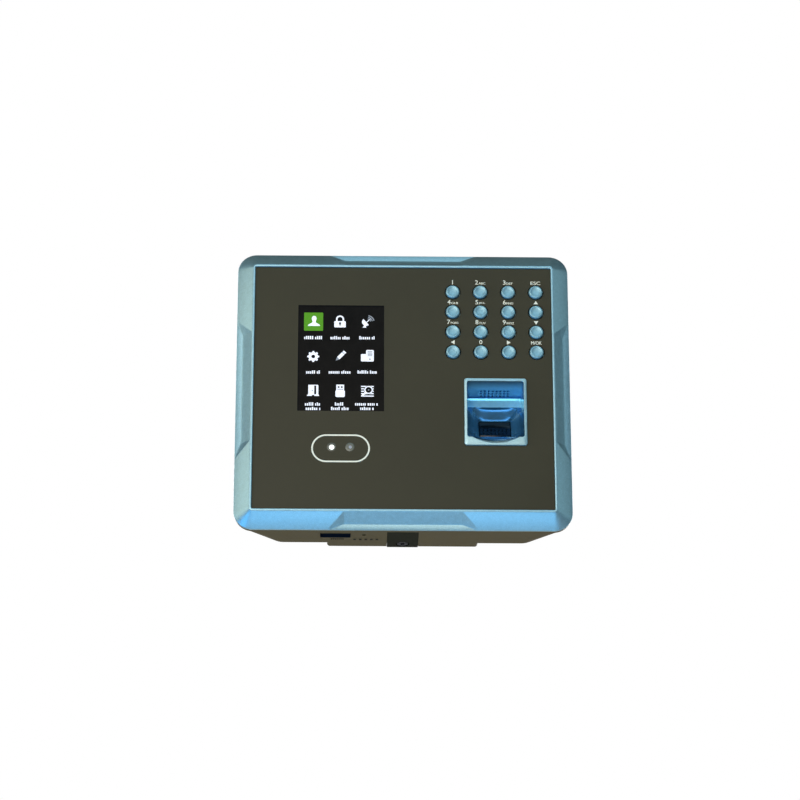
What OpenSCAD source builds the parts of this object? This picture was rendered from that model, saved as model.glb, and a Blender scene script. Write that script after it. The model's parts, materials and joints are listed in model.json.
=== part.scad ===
// Wall-mounted fingerprint and face terminal.
// Millimetres. +Z is up and the front faces -Y. The wall is the plane y = 0, and the
// origin is the centre of the wall plate's four screw holes. A value named y_... is a
// station along Y, so the front of the object has the most negative y.

/* [Body] */
// Width over the front cover
body_w = 167.5; // [166:0.5:170]
// Height over the front cover
body_h = 148.8; // [148:0.2:152]
// Depth from the wall to the front rim
body_d = 32.2; // [32.2:0.2:34]
// Radius of the front cover's outer corners
corner_r = 9.6; // [9:0.2:12]
// Width of the sloped border between the rim and the outer edge
facet_w = 7.8; // [7:0.1:8.5]
// Depth of the sloped border
facet_d = 5.9; // [5.5:0.1:6.5]

/* [Border notches] */
// Half length of a notch at the outer edge
notch_outer = 37.4; // [30:0.5:40]
// Half length of a notch at the rim
notch_inner = 29.2; // [22:0.5:32]
// Width of the flat ledge at the foot of a notch
ledge_w = 3.1; // [2.5:0.1:3.5]

/* [Front panel] */
// Width of the flat rim around the panel
rim_w = 1.15; // [0.8:0.05:1.4]
// How far the panel lies behind the rim
panel_recess = 0.9; // [0.6:0.1:1]
// Thickness of the acrylic panel
panel_t = 2.3; // [2:0.1:2.3]

/* [Keypad] */
// Diameter of a key
key_d = 7; // [6.5:0.1:7.2]
// Horizontal key pitch
key_pitch_x = 14; // [13.5:0.1:14.2]
// Vertical key pitch
key_pitch_z = 11; // [10.8:0.1:11.2]
// Key travel
key_travel = 0.8; // [0.4:0.1:0.8]
// How far a key stands out of the panel
key_proud = 1.2; // [0.8:0.1:1.4]

/* [Fingerprint sensor] */
// Width of the sensor frame
sensor_w = 31.2; // [31:0.1:32]
// Height of the sensor frame
sensor_h = 35.9; // [35.5:0.1:36.5]
// Width of the finger recess at its mouth
recess_w = 28.6; // [27:0.1:28.8]

/* [Wall plate] */
// Horizontal distance between the wall screw holes
wall_pitch_x = 54; // [50:1:56]
// Vertical distance between the wall screw holes
wall_pitch_z = 96; // [92:1:98]
// Diameter of a wall screw hole
wall_hole_d = 4.5; // [4:0.1:5]
// Thickness of the steel plate
wall_plate_t = 1.5; // [1.2:0.1:1.5]

/* [Hidden] */
eps = 0.01;
gap = 0.3;

// Stations along Y, from the front to the wall
y_rim = -body_d;
y_panel = y_rim + panel_recess;
y_panel_back = y_panel + panel_t;
tape_t = 0.2;
y_deck = y_panel_back + tape_t;
deck_t = 2;
y_deck_back = y_deck + deck_t;
y_edge = y_rim + facet_d;
skirt_d = 0.9;
y_seam = y_edge + skirt_d;
y_lip = y_seam + 2.8;
y_rear = -6.4;
wall_t = 2.2;
rear_t = 2.5;
y_rear_in = y_rear - rear_t;
pcb_t = 1.6;
y_main = -19.5;
y_keypad_board = -20.3;
cable_t = 0.4;

// Front cover
rim_box = [body_w - 2 * facet_w, body_h - 2 * facet_w];
panel_box = [rim_box.x - 2 * rim_w, rim_box.y - 2 * rim_w];
rim_r = corner_r - facet_w;
panel_r = 0.7;
tongue_inset = 2.8;
tongue_t = 1.8;
boss_r = 3.2;
case_screw_xz = [[-54, 60], [54, 62], [-54, -60], [54, -60], [0, 62]];
y_split = -19;

// Keypad
keypad_xz = [46, 35.65];
key_hole_r = key_d / 2 + 0.35;
key_flange_r = 4.3;
key_stem_r = 1.5;
y_key_top = y_panel - key_proud;
y_flange = y_deck_back + 0.2;
flange_t = 0.7;
y_mat = y_flange + flange_t + key_travel + 0.2;
mat_t = 0.8;
y_switch = y_mat + mat_t;
keypad_box = [56, 46];
keypad_screw_xz = [for (sx = [-1, 1], sz = [-1, 1]) [sx * 25.6, sz * key_pitch_z]];
KEY_NAMES = [
    "key_1", "key_2", "key_3", "key_esc",
    "key_4", "key_5", "key_6", "key_up",
    "key_7", "key_8", "key_9", "key_down",
    "key_left", "key_0", "key_right", "key_ok"
];
function key_xz(k) = [
    keypad_xz.x + (k % 4 - 1.5) * key_pitch_x,
    keypad_xz.y + (1.5 - floor(k / 4)) * key_pitch_z
];

// Fingerprint sensor: the finger recess is a side profile of [y, z from the frame's centre]
sensor_xz = [46, -13.3];
y_sensor_back = -16;
y_sensor_board = -10.25;
deck_top = [-18.3, 0.9];
deck_foot = [-25.5, -10.9];
deck_len = norm(deck_top - deck_foot);
glass_tilt = atan2(deck_top.x - deck_foot.x, deck_top.y - deck_foot.y);
glass_box = [16, 2, 11.2];
glass_at = deck_foot + (glass_box.z / 2) * [sin(glass_tilt), cos(glass_tilt)];
recess_floor = -13.6;
ceiling_bend = [-24.5, 15.5];
ceiling_end = [-18, 12.9];
recess_profile = [
    [y_rim - 2, 17], ceiling_bend, ceiling_end, [-21, 6.8], [-18.6, 1.8],
    deck_top, deck_foot, [-27.6, recess_floor], [y_rim - 2, recess_floor]
];
scoop_r = 30;
scoop_w = 23;
scoop_lip = -15.8;
vent_pitch = 2;
vent_r = 0.5;
sensor_screw_xz = [[-17.4, 14], [17.4, 14], [-17.4, -14], [17.4, -14]];

// Display and cameras
display_xz = [-31.1, 15.1];
display_box = [50, 69.2];
camera_xz = [-31, -32.7];
camera_pitch = 9.1;
lens_r = 2.9;

// Main board
main_min = [-48, -70.5];
main_max = [16, 48];
main_post_xz = [[-44.5, 44], [12, 44], [-44.5, -56], [12, -56]];
usb_x = -33.4;
usb_box = [14, 5.5];
usb_slot = [15.1, 5.2];
usb_y = -16.75;
reset_xy = [-19.3, -17.3];
reset_hole_r = 1;
tamper_xz = [0, 22];
speaker_xz = [40.4, -47.6];
speaker_r = 13.5;

// Rear case and wall plate
rear_half_w = 69.3;
rear_top = 66;
rear_r = 10;
case_inset = 0.7;
case_bottom = case_inset - body_h / 2;
case_floor = case_bottom + wall_t;
foot_w = 75.2;
foot_bottom = case_bottom + 0.45;
foot_top = 56;
foot_wall = 2;
foot_r = 1.5;
window_min = [-31, -38];
window_max = [31, 6];
hook_xz = [[-22, 34], [22, 34], [-22, -54], [22, -54]];
hook_w = 6;
tongue_w = 15.4;
tongue_len = 21.4;
tongue_z = case_bottom;
tongue_plate_t = 1.6;
tongue_gap = 0.1;
lock_y = -4.3;
lock_hole_r = 3.35;
lock_hole_d = 0.9;
insert_r = 2.1;
insert_len = 7;

// ---------------------------------------------------------------- helpers

// Gives the 2D outline (x, z) a thickness along Y
module slab(y0, y1) {
    translate([0, y1, 0]) rotate([90, 0, 0]) linear_extrude(y1 - y0) children();
}

module rrect(size, r) {
    square([size.x - 2 * r, size.y], center = true);
    square([size.x, size.y - 2 * r], center = true);
    for (sx = [-1, 1], sz = [-1, 1])
        translate([sx * (size.x / 2 - r), sz * (size.y / 2 - r)]) circle(r, $fn = 48);
}

module rect_between(low, high) {
    translate(low) square(high - low);
}

module box_between(low, high) {
    translate(low) cube(high - low);
}

// A cylinder along Y at [x, z]
module rod_y(xz, r, y0, y1) {
    translate([xz.x, y1, xz.y]) rotate([90, 0, 0]) cylinder(r = r, h = y1 - y0, $fn = 48);
}

// A pan-head screw along Y: the head starts at y_head and the shank points to -Y
module screw_y(xz, head_r, head_t, shank_r, len, y_head) {
    difference() {
        union() {
            rod_y(xz, head_r, y_head - head_t, y_head);
            rod_y(xz, shank_r, y_head - head_t - len, y_head - head_t);
        }
        for (a = [0, 90])
            translate([xz.x, y_head, xz.y]) rotate([0, a, 0])
                cube([head_r * 1.2, head_t, head_r * 0.3], center = true);
    }
}

// ---------------------------------------------------------------- front cover

// The wedge that one notch takes out of the border. It lies on the top side.
module notch_wedge() {
    edge_z = body_h / 2;
    rim_z = edge_z - facet_w;
    ledge_z = edge_z - ledge_w;
    hull() for (s = [-1, 1]) {
        translate([s * notch_outer, y_edge - eps, edge_z]) cube(eps, center = true);
        translate([s * notch_outer, y_edge - 1, edge_z + 1.3]) cube(eps, center = true);
        translate([s * notch_inner, y_rim, rim_z]) cube(eps, center = true);
        translate([s * notch_inner, y_rim - 1, rim_z + 1.3]) cube(eps, center = true);
        translate([s * notch_inner, y_edge - eps, ledge_z]) cube(eps, center = true);
    }
}

module four_notches() {
    side_shift = (body_w - body_h) / 2;
    for (a = [0, 180]) rotate([0, a, 0]) notch_wedge();
    for (a = [90, 270])
        rotate([0, a, 0]) translate([0, 0, side_shift]) notch_wedge();
}

module facet_body() {
    hull() {
        slab(y_edge - eps, y_edge) rrect([body_w, body_h], corner_r);
        slab(y_rim, y_rim + eps) rrect(rim_box, rim_r);
    }
    slab(y_edge - eps, y_seam) rrect([body_w, body_h], corner_r);
}

module inset_outline(inset) {
    rrect([body_w - 2 * inset, body_h - 2 * inset], corner_r - inset);
}

module cover_openings() {
    slab(y_deck - 1, y_deck_back + 1) {
        translate(display_xz) square(display_box + [0.8, 0.8], center = true);
        translate(sensor_xz) square([sensor_w + 0.6, sensor_h + 0.6], center = true);
    }
    for (k = [0:15]) rod_y(key_xz(k), key_hole_r, y_deck - 1, y_deck_back + 1);
    for (s = [-1, 1])
        rod_y(camera_xz + [s * camera_pitch / 2, 0], lens_r + 0.4, y_deck - 1, y_deck_back + 1);
}

module front_cover() {
    color("steelblue") difference() {
        union() {
            difference() {
                facet_body();
                four_notches();
                slab(y_rim - 1, y_deck) rrect(panel_box, panel_r);
                slab(y_deck_back, y_seam + 1) inset_outline(tongue_inset + tongue_t);
                cover_openings();
            }
            slab(y_seam - eps, y_seam + 2.4) difference() {
                inset_outline(tongue_inset);
                inset_outline(tongue_inset + tongue_t);
            }
            for (p = case_screw_xz) rod_y(p, boss_r, y_deck_back - eps, y_split);
            for (p = keypad_screw_xz)
                rod_y(keypad_xz + p, 2.2, y_deck_back - eps, y_keypad_board - pcb_t);
            for (p = sensor_screw_xz)
                rod_y(sensor_xz + p, 1.3, y_deck_back - eps, y_deck_back + 0.2);
        }
        for (p = case_screw_xz) rod_y(p, 1.35, y_split - 6.5, y_split + 1);
        for (p = keypad_screw_xz)
            rod_y(keypad_xz + p, 1.05, y_deck_back + 0.5, y_keypad_board);
        for (p = sensor_screw_xz) rod_y(sensor_xz + p, 0.85, y_deck + 0.3, y_deck_back + 1);
    }
}

module front_panel() {
    color("#3b3a30") difference() {
        slab(y_panel, y_panel_back) rrect(panel_box - [0.3, 0.3], panel_r);
        for (k = [0:15]) rod_y(key_xz(k), key_hole_r, y_panel - 1, y_panel_back + 1);
        slab(y_panel - 1, y_panel_back + 1)
            translate(sensor_xz) rrect([sensor_w + 0.6, sensor_h + 0.6], 1.4);
    }
}

module panel_tape() {
    color("black") slab(y_panel_back, y_deck) difference() {
        square(panel_box - [0.8, 0.8], center = true);
        square(panel_box - [6.4, 6.4], center = true);
    }
}

// ---------------------------------------------------------------- keypad

module key_cap(k) {
    edge = 0.5;
    color("#7fc0dc") translate([key_xz(k).x, y_key_top, key_xz(k).y]) rotate([-90, 0, 0])
        rotate_extrude($fn = 48) polygon([
            [0, 0.25], [key_d * 0.32, 0.12], [key_d / 2 - edge, 0], [key_d / 2, edge],
            [key_d / 2, y_flange - y_key_top], [key_flange_r, y_flange - y_key_top],
            [key_flange_r, y_flange + flange_t - y_key_top],
            [key_stem_r, y_flange + flange_t - y_key_top],
            [key_stem_r, y_switch + 0.5 - y_key_top], [0, y_switch + 0.5 - y_key_top]
        ]);
}

module keypad_mat() {
    color("gray") slab(y_mat, y_mat + mat_t) translate(keypad_xz) difference() {
        rrect(keypad_box - [1, 1], 1.5);
        for (k = [0:15]) translate(key_xz(k) - keypad_xz) circle(key_stem_r + 0.5, $fn = 32);
        for (p = keypad_screw_xz) translate(p) circle(2.6, $fn = 32);
    }
}

module key_switches() {
    color("#222222") for (k = [0:15]) difference() {
        slab(y_switch, y_keypad_board - pcb_t)
            translate(key_xz(k)) square([6, 6], center = true);
        rod_y(key_xz(k), key_stem_r + gap, y_switch - 1, y_switch + 1.8);
    }
}

module keypad_board() {
    color("darkgreen") slab(y_keypad_board - pcb_t, y_keypad_board)
        translate(keypad_xz) difference() {
            rrect(keypad_box, 1.5);
            for (p = keypad_screw_xz) translate(p) circle(1.2, $fn = 32);
        }
}

module keypad_screws() {
    color("silver") for (p = keypad_screw_xz)
        screw_y(keypad_xz + p, 1.9, 1.2, 1, 4.6, y_keypad_board + 1.2);
}

// ---------------------------------------------------------------- fingerprint sensor

// Places children in the sensor frame's own place
module at_sensor() {
    translate([sensor_xz.x, 0, sensor_xz.y]) children();
}

// Places children at the middle of the glass, with -Y out of it towards the finger
module at_glass() {
    at_sensor() translate([0, glass_at.x, glass_at.y]) rotate([-glass_tilt, 0, 0]) children();
}

module finger_recess() {
    at_sensor() translate([-recess_w / 2, 0, 0]) rotate([90, 0, 90])
        linear_extrude(recess_w) polygon(recess_profile);
}

// A round trough that the finger slides in along. It runs from the lip to the glass.
module finger_scoop() {
    lip = [y_rim, scoop_lip];
    run = deck_foot - lip;
    slope = atan2(run.y, run.x);
    length = norm(run);
    at_sensor() translate([0, lip.x, lip.y]) rotate([slope, 0, 0])
        translate([0, length, scoop_r]) rotate([90, 0, 0])
            intersection() {
                cylinder(r = scoop_r, h = length + 4, $fn = 96);
                translate([-scoop_w / 2, -scoop_r, -1]) cube([scoop_w, 12, length + 6]);
            }
}

// Three rows of eight small blind holes in the sloped back of the ceiling
module ceiling_vents() {
    run = ceiling_end - ceiling_bend;
    for (row = [0:2], col = [-3.5:3.5]) {
        at = ceiling_bend + run * (0.22 + 0.25 * row);
        at_sensor() translate([col * vent_pitch, at.x, at.y]) rotate([atan2(run.y, run.x), 0, 0])
            translate([0, 0, -0.5]) cylinder(r = vent_r, h = 1.3, $fn = 24);
    }
}

module sensor_frame() {
    color("#3f86bd") difference() {
        union() {
            slab(y_rim, y_sensor_back) translate(sensor_xz) rrect([sensor_w, sensor_h], 1.2);
            slab(y_deck_back + 0.2, y_deck_back + 1.6)
                translate(sensor_xz) rrect([sensor_w + 8, sensor_h + 2], 1.5);
        }
        finger_recess();
        finger_scoop();
        at_glass() translate([0, 8, (deck_len - glass_box.z) / 2])
            cube([glass_box.x + 0.2, 22, deck_len - 0.2], center = true);
        at_glass() translate([0, 12, 0.6]) cube([20.6, 19, 14.4], center = true);
        ceiling_vents();
        for (p = sensor_screw_xz) rod_y(sensor_xz + p, 1.1, y_rim, y_sensor_back);
    }
}

module sensor_glass() {
    color("#0b0f18") at_glass()
        translate([0, glass_box.y / 2 + 0.2, 0])
            cube([glass_box.x, glass_box.y, glass_box.z - 0.2], center = true);
}

module sensor_block() {
    color("#111111") at_glass()
        translate([0, glass_box.y + 0.55 + 3.5, 0]) cube([20, 7, 13], center = true);
}

module sensor_board() {
    color("darkgreen") slab(y_sensor_board, y_sensor_board + 1.2)
        translate(sensor_xz + [0, -8]) square([26, 22], center = true);
}

module sensor_screws() {
    color("silver") for (p = sensor_screw_xz)
        screw_y(sensor_xz + p, 1.6, 1, 0.8, 3, y_deck_back + 2.6);
}

// ---------------------------------------------------------------- display and cameras

module display_module() {
    color("#1c1c1c") slab(y_panel_back + 0.1, y_deck_back + 0.6)
        translate(display_xz) rrect(display_box, 0.6);
}

// A flat cable that folds from the display's foot back to the main board
module display_flex() {
    z_low = display_xz.y - display_box.y / 2 - 3;
    color("#a5763a") translate([display_xz.x - 9, 0, 0]) rotate([90, 0, 90])
        linear_extrude(18) polygon([
            [y_deck_back + 0.6, z_low + 9], [y_deck_back + 0.9, z_low + 9],
            [y_deck_back + 0.9, z_low + 0.3], [y_main - pcb_t, z_low + 0.3],
            [y_main - pcb_t, z_low], [y_deck_back + 0.6, z_low]
        ]);
}

module camera_board() {
    color("darkgreen") slab(y_deck_back + 2.8, y_deck_back + 4)
        translate(camera_xz) rrect([30, 13], 1);
}

module camera(side, tint) {
    at = camera_xz + [side * camera_pitch / 2, 0];
    color(tint) {
        rod_y(at, lens_r, y_panel_back + 0.1, y_deck_back + 0.6);
        slab(y_deck_back + 0.5, y_deck_back + 2.8)
            translate(at) square([8.4, 8.4], center = true);
    }
}

// ---------------------------------------------------------------- main board

module main_board() {
    color("darkgreen") slab(y_main - pcb_t, y_main) difference() {
        rect_between(main_min, main_max);
        for (p = main_post_xz) translate(p) circle(1.6, $fn = 32);
    }
}

// Processor, memory and power parts on the board's front side
module board_chips() {
    chips = [[-18, 22, 16, 16, 1.6], [-18, 2, 12, 18, 1.4], [-38, 12, 9, 9, 1.2],
             [4, 30, 10, 8, 1.5], [4, 10, 7, 7, 1.2], [-34, -50, 12, 8, 3], [2, -30, 9, 14, 2]];
    y_front = y_main - pcb_t;
    color("#202020") for (c = chips)
        slab(y_front - c[4], y_front) translate([c[0], c[1]]) square([c[2], c[3]], center = true);
}

// The socket stands behind the slot in the case's floor, and its mouth faces down
module usb_socket() {
    mouth = usb_box - [0.8, 0.8];
    z_face = case_floor + gap;
    color("#3c4048") {
        difference() {
            box_between([usb_x - usb_box.x / 2, usb_y - usb_box.y / 2, z_face],
                        [usb_x + usb_box.x / 2, usb_y + usb_box.y / 2, -58]);
            box_between([usb_x - mouth.x / 2, usb_y - mouth.y / 2, z_face - 1],
                        [usb_x + mouth.x / 2, usb_y + mouth.y / 2, -60]);
        }
        box_between([usb_x - 5.5, usb_y + 0.1, z_face + 1], [usb_x + 5.5, usb_y + 1.9, -59.5]);
    }
}

module lan_jack() {
    low = [-30, y_main, -16];
    high = [-14, y_main + 13.4, 5];
    color("#c9ccd0") difference() {
        box_between(low, high);
        box_between([low.x + 2.1, low.y + 3.2, low.z - 1], [high.x - 2.1, low.y + 10, high.z - 8]);
        box_between([low.x + 5, low.y + 9, low.z - 1], [high.x - 5, low.y + 12, high.z - 8]);
    }
}

module power_jack() {
    low = [-11, y_main, -12];
    size = [9, 11, 14];
    axis = [low.x + size.x / 2, low.y + 6, low.z];
    color("#1a1a1a") difference() {
        translate(low) cube(size);
        translate(axis - [0, 0, 1]) cylinder(r = 3.1, h = 10.5, $fn = 48);
    }
    color("silver") translate(axis + [0, 0, 1]) cylinder(r = 1, h = 9, $fn = 32);
}

module terminal_blocks() {
    ways = 4;
    pitch = 3.81;
    color("#3c9a50") for (z0 = [-14, -44]) difference() {
        box_between([0.2, y_main, z0], [0.2 + ways * pitch, y_main + 8.4, z0 + 9]);
        for (i = [0:ways - 1])
            translate([0.2 + (i + 0.5) * pitch, y_main + 4.6, z0 - 1]) cylinder(r = 1.3, h = 6, $fn = 32);
    }
}

module relay() {
    color("#2f66b0") box_between([-46, y_main, 10], [-36, y_main + 10.4, 28.5]);
}

module coin_cell() {
    color("#d0d2d6") rod_y([-18, 34], 10, y_main, y_main + 3.4);
}

module speaker() {
    color("#2a2a2a") {
        rod_y(speaker_xz, speaker_r, y_rear_in - 2.6, y_rear_in - 0.1);
        rod_y(speaker_xz, speaker_r * 0.6, y_rear_in - 6, y_rear_in - 2.6);
    }
}

// The reset button is pushed up with a pin through the case's underside
module reset_switch() {
    color("#222222") difference() {
        box_between([reset_xy.x - 3, y_main, -70], [reset_xy.x + 3, y_main + 4.4, -66]);
        translate([reset_xy.x, reset_xy.y, -71]) cylinder(r = 1.1, h = 3.5, $fn = 32);
    }
}

module reset_button() {
    color("#d8d8d8") translate([reset_xy.x, reset_xy.y, -71.2]) cylinder(r = 0.8, h = 2.9, $fn = 32);
}

// The tamper button rests against the wall plate and is let go when the terminal is pulled off
module tamper_switch() {
    color("#222222") difference() {
        slab(y_main, y_main + 6) translate(tamper_xz) square([7, 7], center = true);
        rod_y(tamper_xz, 1.8, y_main + 1.5, y_main + 7);
    }
}

module tamper_button() {
    color("#d8d8d8") rod_y(tamper_xz, 1.5, y_main + 3.5, -wall_plate_t - 0.1);
}

module sensor_cable() {
    color("#d9d9d9") translate([0, 0, -26]) linear_extrude(8) polygon([
        [10, y_main], [17, y_main], [32, y_sensor_board - cable_t], [37, y_sensor_board - cable_t],
        [37, y_sensor_board], [31.8, y_sensor_board], [16.8, y_main + cable_t], [10, y_main + cable_t]
    ]);
}

module keypad_cable() {
    color("#d9d9d9") translate([0, 0, 30]) linear_extrude(10) polygon([
        [10, y_main], [16.2, y_main], [18.2, y_keypad_board], [24, y_keypad_board],
        [24, y_keypad_board + cable_t], [18.4, y_keypad_board + cable_t],
        [16.4, y_main + cable_t], [10, y_main + cable_t]
    ]);
}

module board_screws() {
    color("silver") for (p = main_post_xz) mirror([0, 1, 0]) {
        screw_y(p, 2.4, 1.4, 1.3, 7, -(y_main - pcb_t) + 1.4);
    }
}

module case_screws() {
    color("silver") for (p = case_screw_xz) screw_y(p, 2.5, 1.8, 1.3, 9.5, -12);
}

// ---------------------------------------------------------------- rear case

module case_outer() {
    height = rear_top - case_bottom;
    slab(y_seam + 0.1, y_lip) inset_outline(0.4);
    hull() {
        slab(y_lip - eps, y_lip) inset_outline(case_inset);
        slab(y_rear - eps, y_rear)
            translate([0, case_bottom + height / 2]) rrect([2 * rear_half_w, height], rear_r);
    }
}

module case_inner() {
    height = rear_top - 1 - case_floor;
    slab(y_seam, y_lip) inset_outline(0.4 + wall_t);
    hull() {
        slab(y_lip - eps, y_lip) inset_outline(case_inset + wall_t);
        slab(y_rear_in - eps, y_rear_in)
            translate([0, case_floor + height / 2]) rrect([2 * rear_half_w - 1, height], rear_r - 2);
    }
}

module foot_outline(inset) {
    size = [foot_w - 2 * inset, foot_top - foot_bottom - 2 * inset];
    translate([0, (foot_top + foot_bottom) / 2]) rrect(size, foot_r);
}

module speaker_grille() {
    for (ring = [0:3], i = [0:max(0, ring * 6 - 1)])
        rod_y(speaker_xz + 2.6 * ring * [cos(i * 60 / max(1, ring)), sin(i * 60 / max(1, ring))],
              0.8, y_rear_in - 1, y_rear + 1);
}

module rear_case() {
    lock_block = [20, 7, 9.5];
    color("#45433a") difference() {
        union() {
            difference() {
                case_outer();
                case_inner();
            }
            slab(y_rear - eps, 0) difference() {
                foot_outline(0);
                foot_outline(foot_wall);
            }
            for (p = case_screw_xz) rod_y(p, 4.6, y_split + 0.1, y_rear_in + eps);
            for (p = main_post_xz) rod_y(p, 2.8, y_main, y_rear_in + eps);
            box_between([-lock_block.x / 2, y_rear_in, case_bottom + 0.5],
                        [lock_block.x / 2, y_rear_in + lock_block.y, case_bottom + lock_block.z]);
        }
        for (p = case_screw_xz) {
            rod_y(p, 3.2, -13.8, 1);
            rod_y(p, 1.6, y_split - 1, -13);
        }
        for (p = main_post_xz) rod_y(p, 1.35, y_main - 1, y_main + 8);
        slab(y_rear_in - 1, y_rear + 0.5) {
            rect_between(window_min, window_max);
            for (p = hook_xz) translate(p + [0, 1.5]) square([hook_w + 1, 9], center = true);
        }
        box_between([-tongue_w / 2 - tongue_gap, -tongue_len - tongue_gap, tongue_z - 2],
                    [tongue_w / 2 + tongue_gap, 1, tongue_z + tongue_plate_t + tongue_gap]);
        box_between([-tongue_w / 2 - tongue_gap, -wall_plate_t - gap, tongue_z - 2],
                    [tongue_w / 2 + tongue_gap, 1, -70]);
        translate([0, lock_y, tongue_z]) cylinder(r = insert_r, h = insert_len + 2, $fn = 48);
        box_between([usb_x - usb_slot.x / 2, usb_y - usb_slot.y / 2, case_bottom - 2],
                    [usb_x + usb_slot.x / 2, usb_y + usb_slot.y / 2, case_bottom + 4]);
        translate([reset_xy.x, reset_xy.y, case_bottom - 1])
            cylinder(r = reset_hole_r, h = 5, $fn = 32);
        rod_y(tamper_xz, 1.9, y_rear_in - 1, y_rear + 1);
        speaker_grille();
    }
}

// ---------------------------------------------------------------- wall plate

module hook(xz) {
    reach = y_rear_in - 0.3;
    translate([xz.x - hook_w / 2, 0, xz.y]) {
        box_between([0, reach - wall_plate_t, -2], [hook_w, -wall_plate_t + eps, -0.5]);
        box_between([0, reach - wall_plate_t, -2], [hook_w, reach, 4]);
    }
}

module wall_plate() {
    side_gap = foot_wall + gap;
    color("#3a3428") difference() {
        union() {
            slab(-wall_plate_t, 0) foot_outline(side_gap);
            box_between([-tongue_w / 2, -wall_plate_t, tongue_z],
                        [tongue_w / 2, 0, foot_bottom + side_gap + 1]);
            box_between([-tongue_w / 2, -tongue_len, tongue_z],
                        [tongue_w / 2, 0, tongue_z + tongue_plate_t]);
            for (p = hook_xz) hook(p);
        }
        for (sx = [-1, 1], sz = [-1, 1])
            rod_y([sx * wall_pitch_x / 2, sz * wall_pitch_z / 2], wall_hole_d / 2,
                  -wall_plate_t - 1, 1);
        slab(-wall_plate_t - 1, 1) {
            rect_between([-24, -38], [24, -8]);
            translate([0, 46]) circle(4, $fn = 48);
        }
        translate([0, lock_y, tongue_z - 1]) {
            cylinder(r = lock_hole_r, h = lock_hole_d + 1, $fn = 48);
            cylinder(r = 1.8, h = tongue_plate_t + 2, $fn = 48);
        }
    }
}

// Low-head screw that holds the wall plate's tongue to the case
module lock_screw() {
    head_t = 0.75;
    color("#15171c") translate([0, lock_y, tongue_z + lock_hole_d - head_t]) difference() {
        union() {
            cylinder(r = 2.7, h = head_t, $fn = 48);
            cylinder(r = 1.5, h = 7.5, $fn = 48);
        }
        translate([0, 0, -1]) cylinder(r = 1.2, h = 2.2, $fn = 6);
    }
}

module lock_insert() {
    color("#b08d3c") translate([0, lock_y, tongue_z + tongue_plate_t + 0.2]) difference() {
        cylinder(r = insert_r - 0.05, h = insert_len, $fn = 48);
        translate([0, 0, -1]) cylinder(r = 1.55, h = insert_len + 2, $fn = 48);
    }
}

// ---------------------------------------------------------------- nodes

for (k = [0:15]) key_cap(k);
front_cover();
front_panel();
panel_tape();
keypad_mat();
key_switches();
keypad_board();
keypad_screws();
sensor_frame();
sensor_glass();
sensor_block();
sensor_board();
sensor_screws();
display_module();
display_flex();
camera_board();
camera(-1, "#30363c");  // visible_camera
camera(1, "#20262c");  // infrared_camera
main_board();
board_chips();
usb_socket();
lan_jack();
power_jack();
terminal_blocks();
relay();
coin_cell();
speaker();
reset_switch();
reset_button();
tamper_switch();
tamper_button();
sensor_cable();
keypad_cable();
board_screws();
case_screws();
rear_case();
wall_plate();
lock_screw();
lock_insert();
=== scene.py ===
"""Looks of the wall-mounted fingerprint terminal, built round its CAD frame.

Metres, +Z up, the front faces -Y. Sizes given through mm() are in millimetres.
"""
import json
import math
import random

import bmesh
import bpy
from mathutils import Matrix, Vector


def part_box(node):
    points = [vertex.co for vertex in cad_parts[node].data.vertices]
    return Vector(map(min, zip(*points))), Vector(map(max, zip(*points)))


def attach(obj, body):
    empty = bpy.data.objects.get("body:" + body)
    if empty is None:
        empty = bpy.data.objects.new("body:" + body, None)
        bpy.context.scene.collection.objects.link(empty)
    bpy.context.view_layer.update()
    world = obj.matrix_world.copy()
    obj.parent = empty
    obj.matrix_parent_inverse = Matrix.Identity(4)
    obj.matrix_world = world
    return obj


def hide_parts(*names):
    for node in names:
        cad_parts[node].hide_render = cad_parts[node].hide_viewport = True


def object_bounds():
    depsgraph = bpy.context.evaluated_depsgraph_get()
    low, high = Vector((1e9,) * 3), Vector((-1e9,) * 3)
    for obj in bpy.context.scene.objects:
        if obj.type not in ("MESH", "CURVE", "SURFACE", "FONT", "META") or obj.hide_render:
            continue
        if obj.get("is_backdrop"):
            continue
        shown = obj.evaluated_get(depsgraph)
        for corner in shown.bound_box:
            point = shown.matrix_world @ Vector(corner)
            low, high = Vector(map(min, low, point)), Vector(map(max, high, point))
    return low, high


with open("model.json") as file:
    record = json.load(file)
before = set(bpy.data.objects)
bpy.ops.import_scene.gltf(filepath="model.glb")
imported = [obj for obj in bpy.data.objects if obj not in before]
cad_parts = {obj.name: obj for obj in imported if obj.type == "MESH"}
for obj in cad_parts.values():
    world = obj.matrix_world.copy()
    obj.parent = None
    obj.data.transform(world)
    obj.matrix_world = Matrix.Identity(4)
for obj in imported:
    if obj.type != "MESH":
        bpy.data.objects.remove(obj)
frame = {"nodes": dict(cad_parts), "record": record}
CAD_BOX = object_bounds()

MM = 0.001
RANDOM_SEED = 7

# Boxes of the CAD nodes, and the stations along Y in millimetres that follow from them
COVER_LOW, COVER_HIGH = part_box("front_cover")
PANEL_LOW, PANEL_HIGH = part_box("front_panel")
SENSOR_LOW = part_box("sensor_frame")[0]
CASE_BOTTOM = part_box("rear_case")[0][2] / MM
Y_RIM = COVER_LOW[1] / MM
Y_PANEL = PANEL_LOW[1] / MM
Y_FRAME = SENSOR_LOW[1] / MM
Y_EDGE = Y_RIM + 5.9
Y_SEAM = Y_EDGE + 0.9

# How far a printed or lit layer stands proud of the panel, and how far it sinks in
INK_T = 0.03
SINK = 0.01

HALF_W = COVER_HIGH[0] / MM
HALF_H = COVER_HIGH[2] / MM
FACET_W = 7.8
CORNER_R = 9.6
RIM_R = CORNER_R - FACET_W
PANEL_R = 0.7
NOTCH_OUTER = 37.4
NOTCH_INNER = 29.2
LEDGE_W = 3.1
HOLE_GAP = 0.15
EDGE_R = 0.28

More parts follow.
